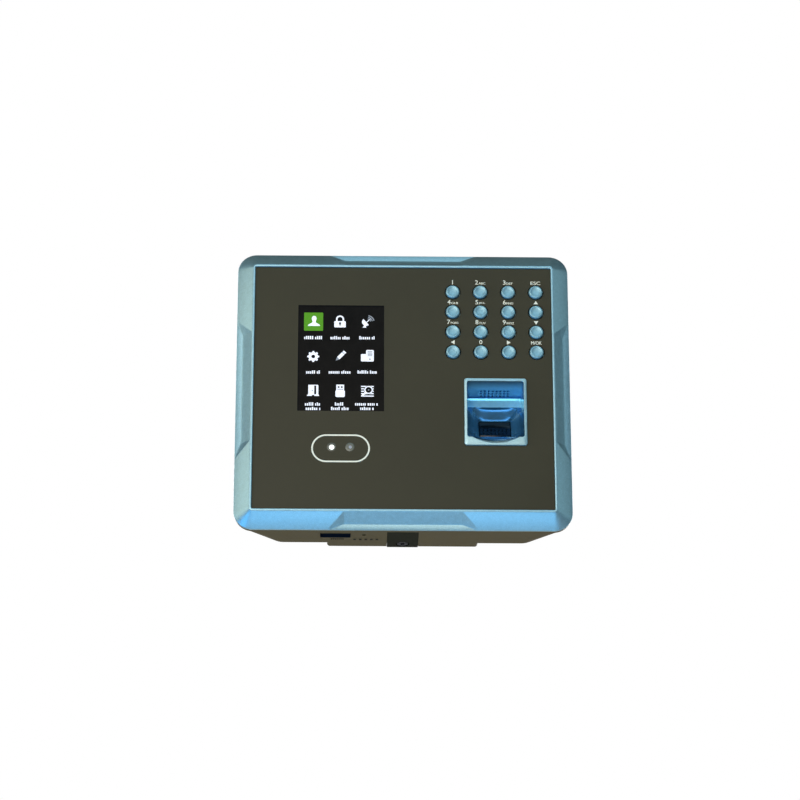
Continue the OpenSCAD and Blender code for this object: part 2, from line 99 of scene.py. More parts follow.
SCREEN_CENTRE = (-31.2, 15.6)
SCREEN_SIZE = (43.2, 57.6)
WINDOW_CENTRE = (-31.1, -33.2)
WINDOW_SIZE = (29.05, 14.8)
WINDOW_LINE = 0.8
EYES_Z = -32.5
EYES_X = (-35.6, -26.5)
USB_CENTRE = (-33.4, -16.75)
KEY_HOLE_R = 4.0
SENSOR_X = 46.0
SENSOR_Z = -13.3
SENSOR_HALF = (15.6, 17.95)
GLASS_HALF = (8.0, 6.3)

CAMERA_AZIMUTH = math.radians(1.09)
CAMERA_ELEVATION = math.radians(-22.57)
CAMERA_DISTANCE = 1.6107
CAMERA_TARGET = Vector((-0.00135, -0.0160, -0.00074))
CAMERA_ROLL = math.radians(-0.05)
CAMERA_LENS = 143.9


def mm(*values):
    return Vector(values) * MM


# ---------------- meshes

def finish_mesh(bm, name, material, sharp=None):
    """Turns bm into an object with outward normals, smooth below the sharp angle if given."""
    bmesh.ops.remove_doubles(bm, verts=bm.verts, dist=1e-7)
    bmesh.ops.recalc_face_normals(bm, faces=bm.faces)
    mesh = bpy.data.meshes.new(name)
    bm.to_mesh(mesh)
    bm.free()
    mesh.polygons.foreach_set("use_smooth", [sharp is not None] * len(mesh.polygons))
    if sharp is not None:
        mesh.set_sharp_from_angle(angle=math.radians(sharp))
    mesh.materials.append(material)
    obj = bpy.data.objects.new(name, mesh)
    bpy.context.scene.collection.objects.link(obj)
    return obj


def piece(bm, name, slot, sharp=None, material=None, body="root", replaces=()):
    """Makes bm a piece of the model, in its slot's own material if no other is given."""
    obj = finish_mesh(bm, name, material or MATERIALS[slot], sharp)
    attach(obj, body)
    if replaces:
        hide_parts(*replaces)


def ring(bm, points):
    return [bm.verts.new(mm(*p)) for p in points]


def shared_verts(bm):
    """Gives a function that makes one vertex for each place, however often it is asked."""
    made = {}

    def vert(point):
        key = tuple(round(c, 4) for c in point)
        if key not in made:
            made[key] = bm.verts.new(mm(*point))
        return made[key]

    return vert


def bridge(bm, low, high, closed=True):
    count = len(low)
    for i in range(count if closed else count - 1):
        j = (i + 1) % count
        bm.faces.new((low[i], low[j], high[j], high[i]))


def arc(cx, cz, r, start, end, count):
    """Points on an arc in the XZ plane, angles in degrees."""
    steps = [math.radians(start + (end - start) * i / count) for i in range(count + 1)]
    return [(cx + r * math.cos(a), cz + r * math.sin(a)) for a in steps]


def circle(cx, cz, r, count=28):
    return arc(cx, cz, r, 0, 360 - 360 / count, count - 1)


def turned(points, cx, cz, angle):
    """The points turned by an angle in degrees and moved to (cx, cz)."""
    c, s = math.cos(math.radians(angle)), math.sin(math.radians(angle))
    return [(cx + x * c - z * s, cz + x * s + z * c) for x, z in points]


# Signs in x and z of each corner, and the angle where its round starts
CORNERS = [(1, 1, 0), (-1, 1, 90), (-1, -1, 180), (1, -1, 270)]


def rounded_rect(half_x, half_z, r, count=10, cx=0.0, cz=0.0):
    points = []
    for sx, sz, start in CORNERS:
        points += arc(cx + sx * (half_x - r), cz + sz * (half_z - r), r, start, start + 90, count)
    return points


def at_y(points, y):
    return [(x, y, z) for x, z in points]


def plate(bm, outline, y_front, y_back, inner=None):
    """A flat piece with the outline (x, z). inner, with as many points, is its hole."""
    front, back = ring(bm, at_y(outline, y_front)), ring(bm, at_y(outline, y_back))
    bridge(bm, front, back)
    if inner is None:
        bm.faces.new(front)
        bm.faces.new(back)
        return
    hole_front, hole_back = ring(bm, at_y(inner, y_front)), ring(bm, at_y(inner, y_back))
    bridge(bm, hole_front, hole_back)
    bridge(bm, front, hole_front)
    bridge(bm, back, hole_back)


def fill(bm, *loops):
    """Triangles over the flat area between closed loops of vertices."""
    edges = []
    for loop in loops:
        for a, b in zip(loop, loop[1:] + loop[:1]):
            edges.append(bm.edges.get((a, b)) or bm.edges.new((a, b)))
    bmesh.ops.triangle_fill(bm, use_beauty=True, edges=edges)


def lathe(bm, profile, cx, cz, segments=64):
    """Turns the profile [(radius, y)] round an axis along Y through (cx, cz)."""
    rings = []
    for r, y in profile:
        if r == 0:
            rings.append([bm.verts.new(mm(cx, y, cz))])
            continue
        turn = [2 * math.pi * i / segments for i in range(segments)]
        rings.append(ring(bm, [(cx + r * math.cos(a), y, cz + r * math.sin(a)) for a in turn]))
    for low, high in zip(rings, rings[1:]):
        if len(low) == 1 or len(high) == 1:
            tip, loop = (low[0], high) if len(low) == 1 else (high[0], low)
            for i in range(segments):
                bm.faces.new((tip, loop[i], loop[(i + 1) % segments]))
        else:
            bridge(bm, low, high)


# ---------------- materials

class Nodes:
    """The emptied node tree of a material or a world."""

    def __init__(self, owner):
        owner.use_nodes = True
        self.tree = owner.node_tree
        self.tree.nodes.clear()

    def node(self, kind):
        return self.tree.nodes.new("ShaderNode" + kind)

    def link(self, source, target):
        self.tree.links.new(source, target)


class Shader(Nodes):
    """A Principled material with helpers for procedural detail in object space."""

    def __init__(self, name):
        self.mat = bpy.data.materials.new(name)
        super().__init__(self.mat)
        output = self.node("OutputMaterial")
        self.bsdf = self.node("BsdfPrincipled")
        self.link(self.bsdf.outputs["BSDF"], output.inputs["Surface"])
        self.coords = self.node("TexCoord").outputs["Object"]

    def set(self, **values):
        for key, value in values.items():
            self.bsdf.inputs[key.replace("_", " ")].default_value = value

    def noise(self, size_mm, detail=3.0, roughness=0.5):
        tex = self.node("TexNoise")
        tex.inputs["Scale"].default_value = 1 / (size_mm * MM)
        tex.inputs["Detail"].default_value = detail
        tex.inputs["Roughness"].default_value = roughness
        self.link(self.coords, tex.inputs["Vector"])
        return tex.outputs["Fac"]

    def cells(self, size_mm):
        """One random grey for each cell, as for flakes in a lacquer."""
        tex = self.node("TexVoronoi")
        tex.inputs["Scale"].default_value = 1 / (size_mm * MM)
        self.link(self.coords, tex.inputs["Vector"])
        grey = self.node("RGBToBW")
        self.link(tex.outputs["Color"], grey.inputs[0])
        return grey.outputs[0]

    def stretched(self, size_mm, stretch):
        """Noise drawn out along some axes, as for brushed metal."""
        mapping = self.node("Mapping")
        mapping.inputs["Scale"].default_value = stretch
        self.link(self.coords, mapping.inputs["Vector"])
        tex = self.node("TexNoise")
        tex.inputs["Scale"].default_value = 1 / (size_mm * MM)
        self.link(mapping.outputs[0], tex.inputs["Vector"])
        return tex.outputs["Fac"]

    def along_y(self):
        split = self.node("SeparateXYZ")
        self.link(self.coords, split.inputs[0])
        return split.outputs["Y"]

    def ramp(self, fac, stops):
        ramp = self.node("ValToRGB")
        items = ramp.color_ramp.elements
        while len(items) < len(stops):
            items.new(0.5)
        for item, (at, colour) in zip(items, stops):
            item.position = at
            item.color = (*colour, 1)
        self.link(fac, ramp.inputs[0])
        return ramp.outputs[0]

    def span(self, fac, low, high, from_low=0.3, from_high=0.7):
        box = self.node("MapRange")
        for key, value in zip(("From Min", "From Max", "To Min", "To Max"),
                              (from_low, from_high, low, high)):
            box.inputs[key].default_value = value
        self.link(fac, box.inputs["Value"])
        return box.outputs[0]

    def multiply(self, amount, a, b):
        """a times b, at the given strength."""
        mix = self.node("Mix")
        mix.data_type = "RGBA"
        mix.blend_type = "MULTIPLY"
        mix.inputs[0].default_value = amount
        self.link(a, mix.inputs[6])
        self.link(b, mix.inputs[7])
        return mix.outputs[2]

    def colour(self, source):
        self.link(source, self.bsdf.inputs["Base Color"])

    def rough(self, source):
        self.link(source, self.bsdf.inputs["Roughness"])

    def bump(self, height, strength, distance_mm):
        bump = self.node("Bump")
        bump.inputs["Strength"].default_value = strength
        bump.inputs["Distance"].default_value = distance_mm * MM
        self.link(height, bump.inputs["Height"])
        self.link(bump.outputs[0], self.bsdf.inputs["Normal"])


def shade(colour, factor):
    return tuple(min(1.0, c * factor) for c in colour)


def grey(level):
    return (level, level, level)


FLAKE_MM = 0.26
CLOUD_MM = 2.2
COAT_ROUGHNESS = 0.16
# Depths in mm behind the sensor's front over which the painted shade at the mouth of the finger recess fades
# out
MOUTH_SHADE_DEPTHS = (1.0, 8.5)


def lacquer(name, colour, metallic, roughness, coat, sparkle=0.75, mouth_shade=None):
    """Metallic paint: fine flakes, faint clouding and an even clear coat.

    The mouth factor is painted shade: it darkens the paint by that factor towards the front of the finger
    recess.
    """
    s = Shader(name)
    flakes = s.cells(FLAKE_MM)
    clouds = s.noise(CLOUD_MM, 4.0, 0.6)
    base = s.ramp(clouds, [(0.3, shade(colour, 0.93)), (0.7, shade(colour, 1.07))])
    glints = s.ramp(flakes, [(0.0, grey(0.82)), (0.75, grey(1.0)), (1.0, grey(1.24))])
    paint = s.multiply(sparkle, base, glints)
    # Painted shade: darker towards the front of the finger recess
    if mouth_shade:
        start, end = [(Y_FRAME + depth) * MM for depth in MOUTH_SHADE_DEPTHS]
        depth = s.span(s.along_y(), 0, 1, start, end)
        painted_shade = s.ramp(depth, [(0.0, grey(mouth_shade)), (1.0, grey(1.0))])
        paint = s.multiply(1.0, paint, painted_shade)
    s.colour(paint)
    s.rough(s.span(clouds, roughness - 0.04, roughness + 0.05))
    s.set(Metallic=metallic, Coat_Weight=coat, Coat_Roughness=COAT_ROUGHNESS)
    return s.mat


def moulded(name, colour, roughness=0.55, grain_mm=0.35, grain=0.35, depth_mm=0.05, specular=0.25):
    """Moulded plastic with a spark-eroded grain and slight handling marks."""
    s = Shader(name)
    texture = s.noise(grain_mm, 2.0, 0.55)
    marks = s.noise(9.0, 5.0, 0.65)
    s.colour(s.ramp(marks, [(0.25, shade(colour, 0.88)), (0.75, shade(colour, 1.14))]))
    s.rough(s.span(marks, roughness - 0.06, roughness + 0.07))
    s.bump(texture, grain, depth_mm)
    s.set(Specular_IOR_Level=specular)
    return s.mat


def metal(name, colour, roughness=0.32, stretch=(1, 1, 14)):
    s = Shader(name)
    lines = s.stretched(0.5, stretch)
    stains = s.noise(4.0, 4.0, 0.6)
    s.colour(s.ramp(stains, [(0.3, shade(colour, 0.86)), (0.7, shade(colour, 1.08))]))
    s.rough(s.span(lines, roughness - 0.08, roughness + 0.12))
    s.bump(lines, 0.15, 0.02)
    s.set(Metallic=1.0)
    return s.mat


def glossy(name, colour, roughness, variation=0.1, size_mm=14.0, specular=0.5):
    """A smooth dark face with a faint wipe pattern."""
    s = Shader(name)
    wipe = s.noise(size_mm, 5.0, 0.6)
    dust = s.noise(0.25, 2.0, 0.5)
    s.colour(s.ramp(wipe, [(0.3, shade(colour, 1 - variation)), (0.7, shade(colour, 1 + variation))]))
    s.rough(s.span(wipe, roughness - 0.03, roughness + 0.05))
    s.bump(dust, 0.03, 0.01)
    s.set(Specular_IOR_Level=specular)
    return s.mat


def printed(name, colour, glow=0.0):
    """Screen-printed ink or lit pixels: slightly uneven, so not one flat colour. The glow is the pixels' own
    light, but on ink it is painted light.
    """
    s = Shader(name)
    ink = s.noise(0.5, 3.0, 0.6)
    tone = s.ramp(ink, [(0.3, shade(colour, 0.90)), (0.7, shade(colour, 1.05))])
    s.colour(tone)
    s.set(Roughness=0.6, Specular_IOR_Level=0.1)
    if glow:
        s.link(tone, s.bsdf.inputs["Emission Color"])
        s.set(Emission_Strength=glow)
    return s.mat


def circuit_board(name):
    s = Shader(name)
    tracks = s.stretched(1.2, (1, 1, 0.12))
    mask = s.ramp(tracks, [(0.47, (0.010, 0.085, 0.035)), (0.53, (0.016, 0.150, 0.060))])
    s.colour(mask)
    s.set(Roughness=0.38)
    s.bump(tracks, 0.2, 0.03)
    return s.mat


BLUE = (0.270, 0.470, 0.560)
KEY_BLUE = (0.226, 0.425, 0.515)
SURROUND_BLUE = (0.330, 0.520, 0.580)
# Painted light: the band's brighter blue below stands for the light it catches; it is the sensor frame's own
# lacquer
BAND_BLUE_PAINTED_LIGHT = (0.400, 0.860, 1.000)
# Painted shade: the recess and the finger pocket are the sensor frame's lacquer in deeper, more saturated
# blues, for the shade and blue bounced light inside them
RECESS_BLUE_PAINTED_SHADE = (0.110, 0.370, 0.700)
POCKET_BLUE_PAINTED_SHADE = (0.060, 0.240, 0.440)
INK_WHITE = (0.900, 0.880, 0.740)

# Each slot's maker, then what it takes after the name
RECIPES = {
    "cover_lacquer": (lacquer, BLUE, 0.55, 0.36, 0.25),
    "key_lacquer": (lacquer, KEY_BLUE, 0.50, 0.40, 0.20, 0.2),
    # The recess's deeper blue and its darker mouth are painted shade
    "sensor_lacquer": (lacquer, RECESS_BLUE_PAINTED_SHADE, 0.60, 0.38, 0.25, 0.2, 0.16),
    "panel_acrylic": (glossy, (0.054, 0.047, 0.027), 0.34, 0.06, 40.0, 0.12),
    "display_glass": (glossy, (0.0100, 0.0086, 0.0078), 0.20, 0.15, 8.0, 0.03),
    "sensor_prism": (glossy, (0.0012, 0.0018, 0.0032), 0.12, 0.10, 4.0, 0.20),
    "camera_housing": (moulded, (0.02, 0.02, 0.022), 0.4, 0.3, 0.2),
    "case_plastic": (moulded, (0.112, 0.078, 0.032), 0.62, 0.45, 0.45, 0.06),
    "black_plastic": (moulded, (0.018, 0.018, 0.018)),
    "white_plastic": (moulded, (0.70, 0.69, 0.65)),
    "silicone": (moulded, (0.28, 0.28, 0.28), 0.7, 0.5, 0.2),
    "black_foam": (moulded, (0.02, 0.02, 0.02), 0.85, 0.25, 0.6),
    "circuit_board": (circuit_board,),
    "chip_resin": (moulded, (0.025, 0.025, 0.027), 0.5, 0.2, 0.25),
    "flex_film": (moulded, (0.42, 0.20, 0.04), 0.35, 0.6, 0.1),
    "socket_steel": (metal, (0.60, 0.61, 0.63)),
    "screw_steel": (metal, (0.55, 0.56, 0.58), 0.28, (6, 6, 6)),
    "cell_steel": (metal, (0.66, 0.66, 0.67), 0.22, (1, 1, 3)),
    "lock_steel": (metal, (0.010, 0.014, 0.026), 0.30, (5, 5, 5)),
    "plate_steel": (moulded, (0.022, 0.020, 0.011), 0.65, 0.20, 0.4, 0.05, 0.04),
    "insert_brass": (metal, (0.62, 0.42, 0.15), 0.3, (4, 4, 1)),
    "terminal_plastic": (moulded, (0.04, 0.30, 0.09), 0.45),
    "relay_plastic": (moulded, (0.03, 0.12, 0.40), 0.35),
    "speaker_cone": (moulded, (0.025, 0.025, 0.025), 0.8, 0.4, 0.4),
}
MATERIALS = {name: make(name, *values) for name, (make, *values) in RECIPES.items()}
# Painted light: the printed ink glows faintly, though it is no lamp
INK_WITH_PAINTED_GLOW = printed("panel_ink", INK_WHITE, 0.12)
# Painted shade for the USB socket's opening and its slot walls
USB_PAINTED_SHADE = moulded("usb_black", (0.010, 0.014, 0.024), 0.45, 0.3, 0.1, 0.05, 0.04)
USB_BLUE = moulded("usb_blue", (0.012, 0.025, 0.080), 0.40, 0.3, 0.1)
MARK_INK = printed("mark_ink", (0.008, 0.007, 0.005))
PIXEL_WHITE = printed("pixel_white", (0.80, 0.80, 0.86), 0.55)
PIXEL_GREEN = printed("pixel_green", (0.083, 0.265, 0.017), 0.45)
# Lit grey pixels of the screen; on the right camera lens the same glow is a painted sheen
PIXEL_GREY_AND_LENS_SHEEN = printed("pixel_grey", (0.30, 0.32, 0.36), 0.30)
EYE_WHITE = printed("eye_white", (0.95, 0.95, 0.86), 0.9)
EYE_GREY = glossy("eye_grey", (0.105, 0.110, 0.085), 0.22, 0.15, 3.0)
SURROUND = lacquer("sensor_surround_lacquer", SURROUND_BLUE, 0.50, 0.36, 0.25)
# Painted light: the frame's lacquer in a brighter blue, for the light that the band catches
BAND = lacquer("sensor_band_lacquer", BAND_BLUE_PAINTED_LIGHT, 0.35, 0.22, 0.40, 0.2)
# Painted shade: the pocket's deep blue and its darker mouth stand for the shade inside it
POCKET = lacquer("sensor_pocket_lacquer", POCKET_BLUE_PAINTED_SHADE, 0.55, 0.20, 0.80, 0.2, 0.30)
SCREEN_BLACK = glossy("screen_black", (0.0012, 0.0012, 0.0022), 0.30, 0.15, 8.0, 0.05)
EYE_RING = glossy("eye_ring", (0.085, 0.085, 0.062), 0.30, 0.15, 3.0)


def dress_cad_nodes():
    slots = {row["node"]: row["material_slot"] for row in frame["record"]["subparts"]}
    for name, node in frame["nodes"].items():
        for index in range(len(node.material_slots)):
            node.material_slots[index].material = MATERIALS[slots[name]]


# ---------------- front cover

def cover_side(turn):
    """Maps a point of the top side (x, y, z) to another side of the cover."""
    def place(x, y, out):
        """out is the distance outwards from the middle of that side's own edge."""
        if turn == 0:
            return (x, y, HALF_H + out)
        if turn == 1:
            return (-HALF_W - out, y, x)
        if turn == 2:
            return (-x, y, -HALF_H - out)
        return (HALF_W + out, y, -x)
    return place


def front_cover():
    """The visible shell of the cover: raised rim, sloped border and four notches."""
    bm = bmesh.new()
    segments = 12
    vert = shared_verts(bm)

    def face(*points):
        bm.faces.new([vert(p) for p in points])

    panel_x, panel_z = PANEL_HIGH[0] / MM + HOLE_GAP, PANEL_HIGH[2] / MM + HOLE_GAP
    for index in range(4):
        place = cover_side(index)
        half = (HALF_W, HALF_H)[index % 2]
        flat = half - CORNER_R
        rim_flat = half - FACET_W - RIM_R
        hole_half = (panel_x, panel_z)[index % 2]
        hole_out = (panel_z, panel_x)[index % 2] - (HALF_H, HALF_W)[index % 2]
        hole_flat = hole_half - PANEL_R

        def side(*points):
            face(*[place(*point) for point in points])

        for sign in (-1, 1):
            outer, inner = sign * NOTCH_OUTER, sign * NOTCH_INNER
            side((sign * flat, Y_EDGE, 0), (outer, Y_EDGE, 0), (inner, Y_RIM, -FACET_W),
                 (sign * rim_flat, Y_RIM, -FACET_W))
            side((outer, Y_EDGE, 0), (inner, Y_EDGE, -LEDGE_W), (inner, Y_RIM, -FACET_W))
        side((-NOTCH_OUTER, Y_EDGE, 0), (NOTCH_OUTER, Y_EDGE, 0),
             (NOTCH_INNER, Y_EDGE, -LEDGE_W), (-NOTCH_INNER, Y_EDGE, -LEDGE_W))
        side((-NOTCH_INNER, Y_EDGE, -LEDGE_W), (NOTCH_INNER, Y_EDGE, -LEDGE_W),
             (NOTCH_INNER, Y_RIM, -FACET_W), (-NOTCH_INNER, Y_RIM, -FACET_W))
        side((-flat, Y_EDGE, 0), (-NOTCH_OUTER, Y_EDGE, 0), (NOTCH_OUTER, Y_EDGE, 0),
             (flat, Y_EDGE, 0), (flat, Y_SEAM, 0), (-flat, Y_SEAM, 0))
        side((-flat, Y_SEAM, 0), (flat, Y_SEAM, 0),
             (hole_flat, Y_SEAM, hole_out), (-hole_flat, Y_SEAM, hole_out))
        side((-rim_flat, Y_RIM, -FACET_W), (-NOTCH_INNER, Y_RIM, -FACET_W),
             (NOTCH_INNER, Y_RIM, -FACET_W), (rim_flat, Y_RIM, -FACET_W),
             (hole_flat, Y_RIM, hole_out), (-hole_flat, Y_RIM, hole_out))
        side((-hole_flat, Y_RIM, hole_out), (hole_flat, Y_RIM, hole_out),
             (hole_flat, Y_SEAM, hole_out), (-hole_flat, Y_SEAM, hole_out))
    for sx, sz, start in CORNERS:
        outer = arc(sx * (HALF_W - CORNER_R), sz * (HALF_H - CORNER_R), CORNER_R,
                    start, start + 90, segments)
        rim = arc(sx * (HALF_W - FACET_W - RIM_R), sz * (HALF_H - FACET_W - RIM_R), RIM_R,
                  start, start + 90, segments)
        hole = arc(sx * (panel_x - PANEL_R), sz * (panel_z - PANEL_R), PANEL_R,
                   start, start + 90, segments)
        strips = [at_y(outer, Y_EDGE), at_y(rim, Y_RIM), at_y(hole, Y_RIM), at_y(hole, Y_SEAM),
                  at_y(outer, Y_SEAM), at_y(outer, Y_EDGE)]
        for low, high in zip(strips, strips[1:]):
            for i in range(segments):
                face(low[i], low[i + 1], high[i + 1], high[i])
    bmesh.ops.recalc_face_normals(bm, faces=bm.faces)
    round_edges(bm, EDGE_R, segments=3, angle=14)
    piece(bm, "cover_shell", "cover_lacquer", 24, replaces=["front_cover"])


def round_edges(bm, radius_mm, segments, angle):
    limit = math.radians(angle)
    edges = [e for e in bm.edges if len(e.link_faces) == 2 and e.calc_face_angle(0) > limit]
    bmesh.ops.bevel(bm, geom=edges, offset=radius_mm * MM, offset_type="OFFSET", segments=segments,
                    profile=0.5, affect="EDGES", clamp_overlap=True)


# ---------------- keys and legends

KEY_LEGENDS = {
    "key_1": ("1", ""), "key_2": ("2", "ABC"), "key_3": ("3", "DEF"), "key_esc": ("", "ESC"),
    "key_4": ("4", "GHI"), "key_5": ("5", "JKL"), "key_6": ("6", "MNO"), "key_up": ("up", ""),
    "key_7": ("7", "PQRS"), "key_8": ("8", "TUV"), "key_9": ("9", "WXYZ"), "key_down": ("down", ""),
    "key_left": ("left", ""), "key_0": ("0", ""), "key_right": ("right", ""), "key_ok": ("", "M/OK"),
}
ARROW_TURNS = {"up": 90, "left": 180, "down": 270, "right": 0}
DIGIT_HEIGHT = 2.35
LETTER_HEIGHT = 1.2
WORD_HEIGHT = 1.8
LETTER_WIDTHS = {3: 3.35, 4: 3.85}
WORD_WIDTHS = {"ESC": 4.9, "M/OK": 5.3}
LEGEND_RISE = 4.35
LEGEND_GAP = 0.3
STRIKE_SHIFT = 0.04
STRIKE_LIFT = 0.004
ARROW = [(1.05, 0), (-0.85, 1.15), (-0.85, -1.15)]
KEY_R = 3.5
KEY_FLANGE_Y = -26.6
KEY_FLANGE_T = 0.7
KEY_STEM_R = 1.5
PIP_DROP = 2.05


def key_centre(name):
    low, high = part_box(name)
    return (low[0] + high[0]) / 2 / MM, (low[2] + high[2]) / 2 / MM


def key_cap(name):
    """A lacquered key: dished top, raised rounded rim and a plain skirt. The 5 has a pip."""
    low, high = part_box(name)
    top, bottom = low[1] / MM, high[1] / MM
    flange_r = (high[0] - low[0]) / 2 / MM
    cx, cz = key_centre(name)
    y_under = KEY_FLANGE_Y + KEY_FLANGE_T
    profile = [(0, top + 0.26), (1.0, top + 0.25), (1.7, top + 0.21), (2.15, top + 0.13),
               (2.45, top + 0.05), (2.7, top), (2.95, top + 0.02), (3.2, top + 0.13),
               (3.38, top + 0.31), (3.47, top + 0.55), (KEY_R, top + 0.85), (KEY_R, KEY_FLANGE_Y),
               (flange_r, KEY_FLANGE_Y), (flange_r, y_under), (KEY_STEM_R, y_under),
               (KEY_STEM_R, bottom), (0, bottom)]
    bm = bmesh.new()
    lathe(bm, profile, cx, cz)
    if name == "key_5":
        pip = [(0, top), (0.22, top + 0.02), (0.42, top + 0.10), (0.55, top + 0.3), (0, top + 0.3)]
        lathe(bm, pip, cx, cz - PIP_DROP, 24)
    piece(bm, name + "_cap_piece", "key_lacquer", 40,
          body=name + "_cap", replaces=[name])


def text_points(body, height, width=None):
    """The mesh of a word of the given size, with its lower left corner at the origin."""
    curve = bpy.data.curves.new("word", "FONT")
    curve.body = body
    curve.resolution_u = 4
    holder = bpy.data.objects.new("word", curve)
    bpy.context.scene.collection.objects.link(holder)
    bpy.context.view_layer.update()
    mesh = bpy.data.meshes.new_from_object(holder.evaluated_get(bpy.context.evaluated_depsgraph_get()))
    bpy.data.objects.remove(holder)
    xs = [v.co.x for v in mesh.vertices]
    ys = [v.co.y for v in mesh.vertices]
    scale = height / (max(ys) - min(ys))
    stretch = width / (max(xs) - min(xs)) if width else scale
    points = [((v.co.x - min(xs)) * stretch, (v.co.y - min(ys)) * scale) for v in mesh.vertices]
    faces = [tuple(p.vertices) for p in mesh.polygons]
    bpy.data.meshes.remove(mesh)
    return points, faces, (max(xs) - min(xs)) * stretch


def add_text(bm, word, x, z, y_front, y_back):
    """Adds a word as a thin solid. Its lower left corner is at (x, z)."""
    points, faces, _ = word
    front = [bm.verts.new(mm(x + px, y_front, z + pz)) for px, pz in points]
    flat = [bm.faces.new([front[i] for i in f]) for f in faces]
    grown = bmesh.ops.extrude_face_region(bm, geom=flat)
    moved = [v for v in grown["geom"] if isinstance(v, bmesh.types.BMVert)]
    bmesh.ops.translate(bm, verts=moved, vec=mm(0, y_back - y_front, 0))


def arrow(cx, base, angle):
    return turned(ARROW, cx, base + ARROW[0][0], angle)


def key_legends():
    """The printed legends over the keys. Each word is struck twice, which thickens it."""
    bm = bmesh.new()
    y_front, y_back = Y_PANEL - INK_T, Y_PANEL + SINK
    for name, (digit, letters) in KEY_LEGENDS.items():
        cx, cz = key_centre(name)
        base = cz + LEGEND_RISE
        if digit in ARROW_TURNS:
            plate(bm, arrow(cx, base, ARROW_TURNS[digit]), y_front, y_back)
            continue
        words = []
        if digit:
            words.append(text_points(digit, DIGIT_HEIGHT))
        if letters in WORD_WIDTHS:
            words.append(text_points(letters, WORD_HEIGHT, WORD_WIDTHS[letters]))
        elif letters:
            words.append(text_points(letters, LETTER_HEIGHT, LETTER_WIDTHS[len(letters)]))
        width = sum(w[2] for w in words) + LEGEND_GAP * (len(words) - 1)
        x = cx - width / 2
        for word in words:
            for strike in (-1, 1):
                add_text(bm, word, x + strike * STRIKE_SHIFT, base,
                         y_front + strike * STRIKE_LIFT, y_back)
            x += word[2] + LEGEND_GAP
    piece(bm, "key_legends", "panel_acrylic", material=INK_WITH_PAINTED_GLOW)


# ---------------- front panel

WINDOW_GAP = 0.1
WINDOW_R = 1.3
DECK_GAP = 0.1
DECK_T = 1.5


def front_panel():
    """The dark face sheet with softened edges, and the cover's deck behind it."""
    bm = bmesh.new()
    half_x, half_z = PANEL_HIGH[0] / MM, PANEL_HIGH[2] / MM
    window_x, window_z = SENSOR_HALF[0] + WINDOW_GAP, SENSOR_HALF[1] + WINDOW_GAP
    soft = 0.12
    y_back = PANEL_HIGH[1] / MM
    holes = [(*key_centre(name), KEY_HOLE_R) for name in KEY_LEGENDS]

    def loops(y, grow):
        outer = ring(bm, at_y(rounded_rect(half_x - grow, half_z - grow, PANEL_R, 8), y))
        rounds = [ring(bm, at_y(circle(x, z, r + grow, 48), y)) for x, z, r in holes]
        window = ring(bm, at_y(rounded_rect(window_x + grow, window_z + grow, WINDOW_R, 8,
                                            SENSOR_X, SENSOR_Z), y))
        return [outer, *rounds, window]

    stages = [loops(Y_PANEL, soft), loops(Y_PANEL + soft * 0.3, soft * 0.3),
              loops(Y_PANEL + soft, 0), loops(y_back, 0)]
    fill(bm, *stages[0])
    fill(bm, *stages[-1])
    for low, high in zip(stages, stages[1:]):
        for low_loop, high_loop in zip(low, high):
            bridge(bm, low_loop, high_loop)
    piece(bm, "panel_sheet", "panel_acrylic", 8, replaces=["front_panel"])
    bm = bmesh.new()
    front, back = loops(y_back + DECK_GAP, 0), loops(y_back + DECK_GAP + DECK_T, 0)
    for low, high in zip(front, back):
        bridge(bm, low, high)
    fill(bm, *front)
    fill(bm, *back)
    piece(bm, "cover_deck", "cover_lacquer", 30, MATERIALS["black_plastic"])


# ---------------- fingerprint sensor

OPENING_X = 14.3
OPENING_TOP = 16.7
OPENING_FLOOR = -13.6
OPENING_R = 1.1
TAPER = 1.2 / 14.2
HOOD_RISE = 5.3
SMILE_X = 12.0
SMILE_DEPTH = 3.3
SMILE_CHAMFER = (0.4, 0.6, 1.1)
CEILING = [(-24.5, 15.5), (-18.0, 12.9)]
STEP_BACK = (-19.1, 12.35)
BAND_TOP = (-18.5, 11.55)
BAND_FOOT = (-21.0, 6.8)
STEP_FRONT_Z = (6.2, 5.95, 5.5, 1.3)
WINDOW_HALF = 8.1
WINDOW_TOP = (-17.4, 1.3)
WINDOW_FOOT = (-25.5, -10.9)
VENT_ROWS = 3
VENT_COLUMNS = 8
VENT_PITCH = (1.95, 1.75)
VENT_R = 0.55
VENT_DEPTH = 1.6
VENT_SHIFT = 0.15


def at_sensor(points):
    return [(SENSOR_X + x, y, SENSOR_Z + z) for x, y, z in points]


def wall_x(y):
    """Half width of the recess at the station y."""
    return OPENING_X - TAPER * (y - Y_FRAME)


def lerp(a, b, t):
    return tuple(p + (q - p) * t for p, q in zip(a, b))


def run(a, b, count):
    """count points from a towards b, without b itself."""
    return [lerp(a, b, i / count) for i in range(count)]


def smile(depth, half, y_end, y_mid, count):
    """Points of the thumb cut-out's edge, from right to left."""
    points = []
    for i in range(count):
        t = 1 - 2 * i / count
        sag = 1 - t * t
        points.append((half * t, y_end + (y_mid - y_end) * min(1.0, 3 * sag), OPENING_FLOOR - depth * sag))
    return points


def smile_foot(count):
    """The inner edge of the thumb cut-out's chamfer, without its last point."""
    in_x, in_y, in_z = SMILE_CHAMFER
    return smile(SMILE_DEPTH - in_z, SMILE_X - in_x, Y_FRAME, Y_FRAME + in_y, count)


def opening_loop(count=30):
    """The edge of the recess on the sensor's front face."""
    r, top, floor = OPENING_R, OPENING_TOP - OPENING_R, OPENING_FLOOR + OPENING_R
    x = OPENING_X - r
    right = arc(x, top, r, 90, 0, 6) + arc(x, floor, r, 0, -90, 6)
    left = arc(-x, floor, r, -90, -180, 6) + arc(-x, top, r, 180, 90, 6)
    cut_out = [*smile(SMILE_DEPTH, SMILE_X, Y_FRAME, Y_FRAME, count), (-SMILE_X, Y_FRAME, OPENING_FLOOR)]
    return at_y(right, Y_FRAME) + cut_out + at_y(left, Y_FRAME)


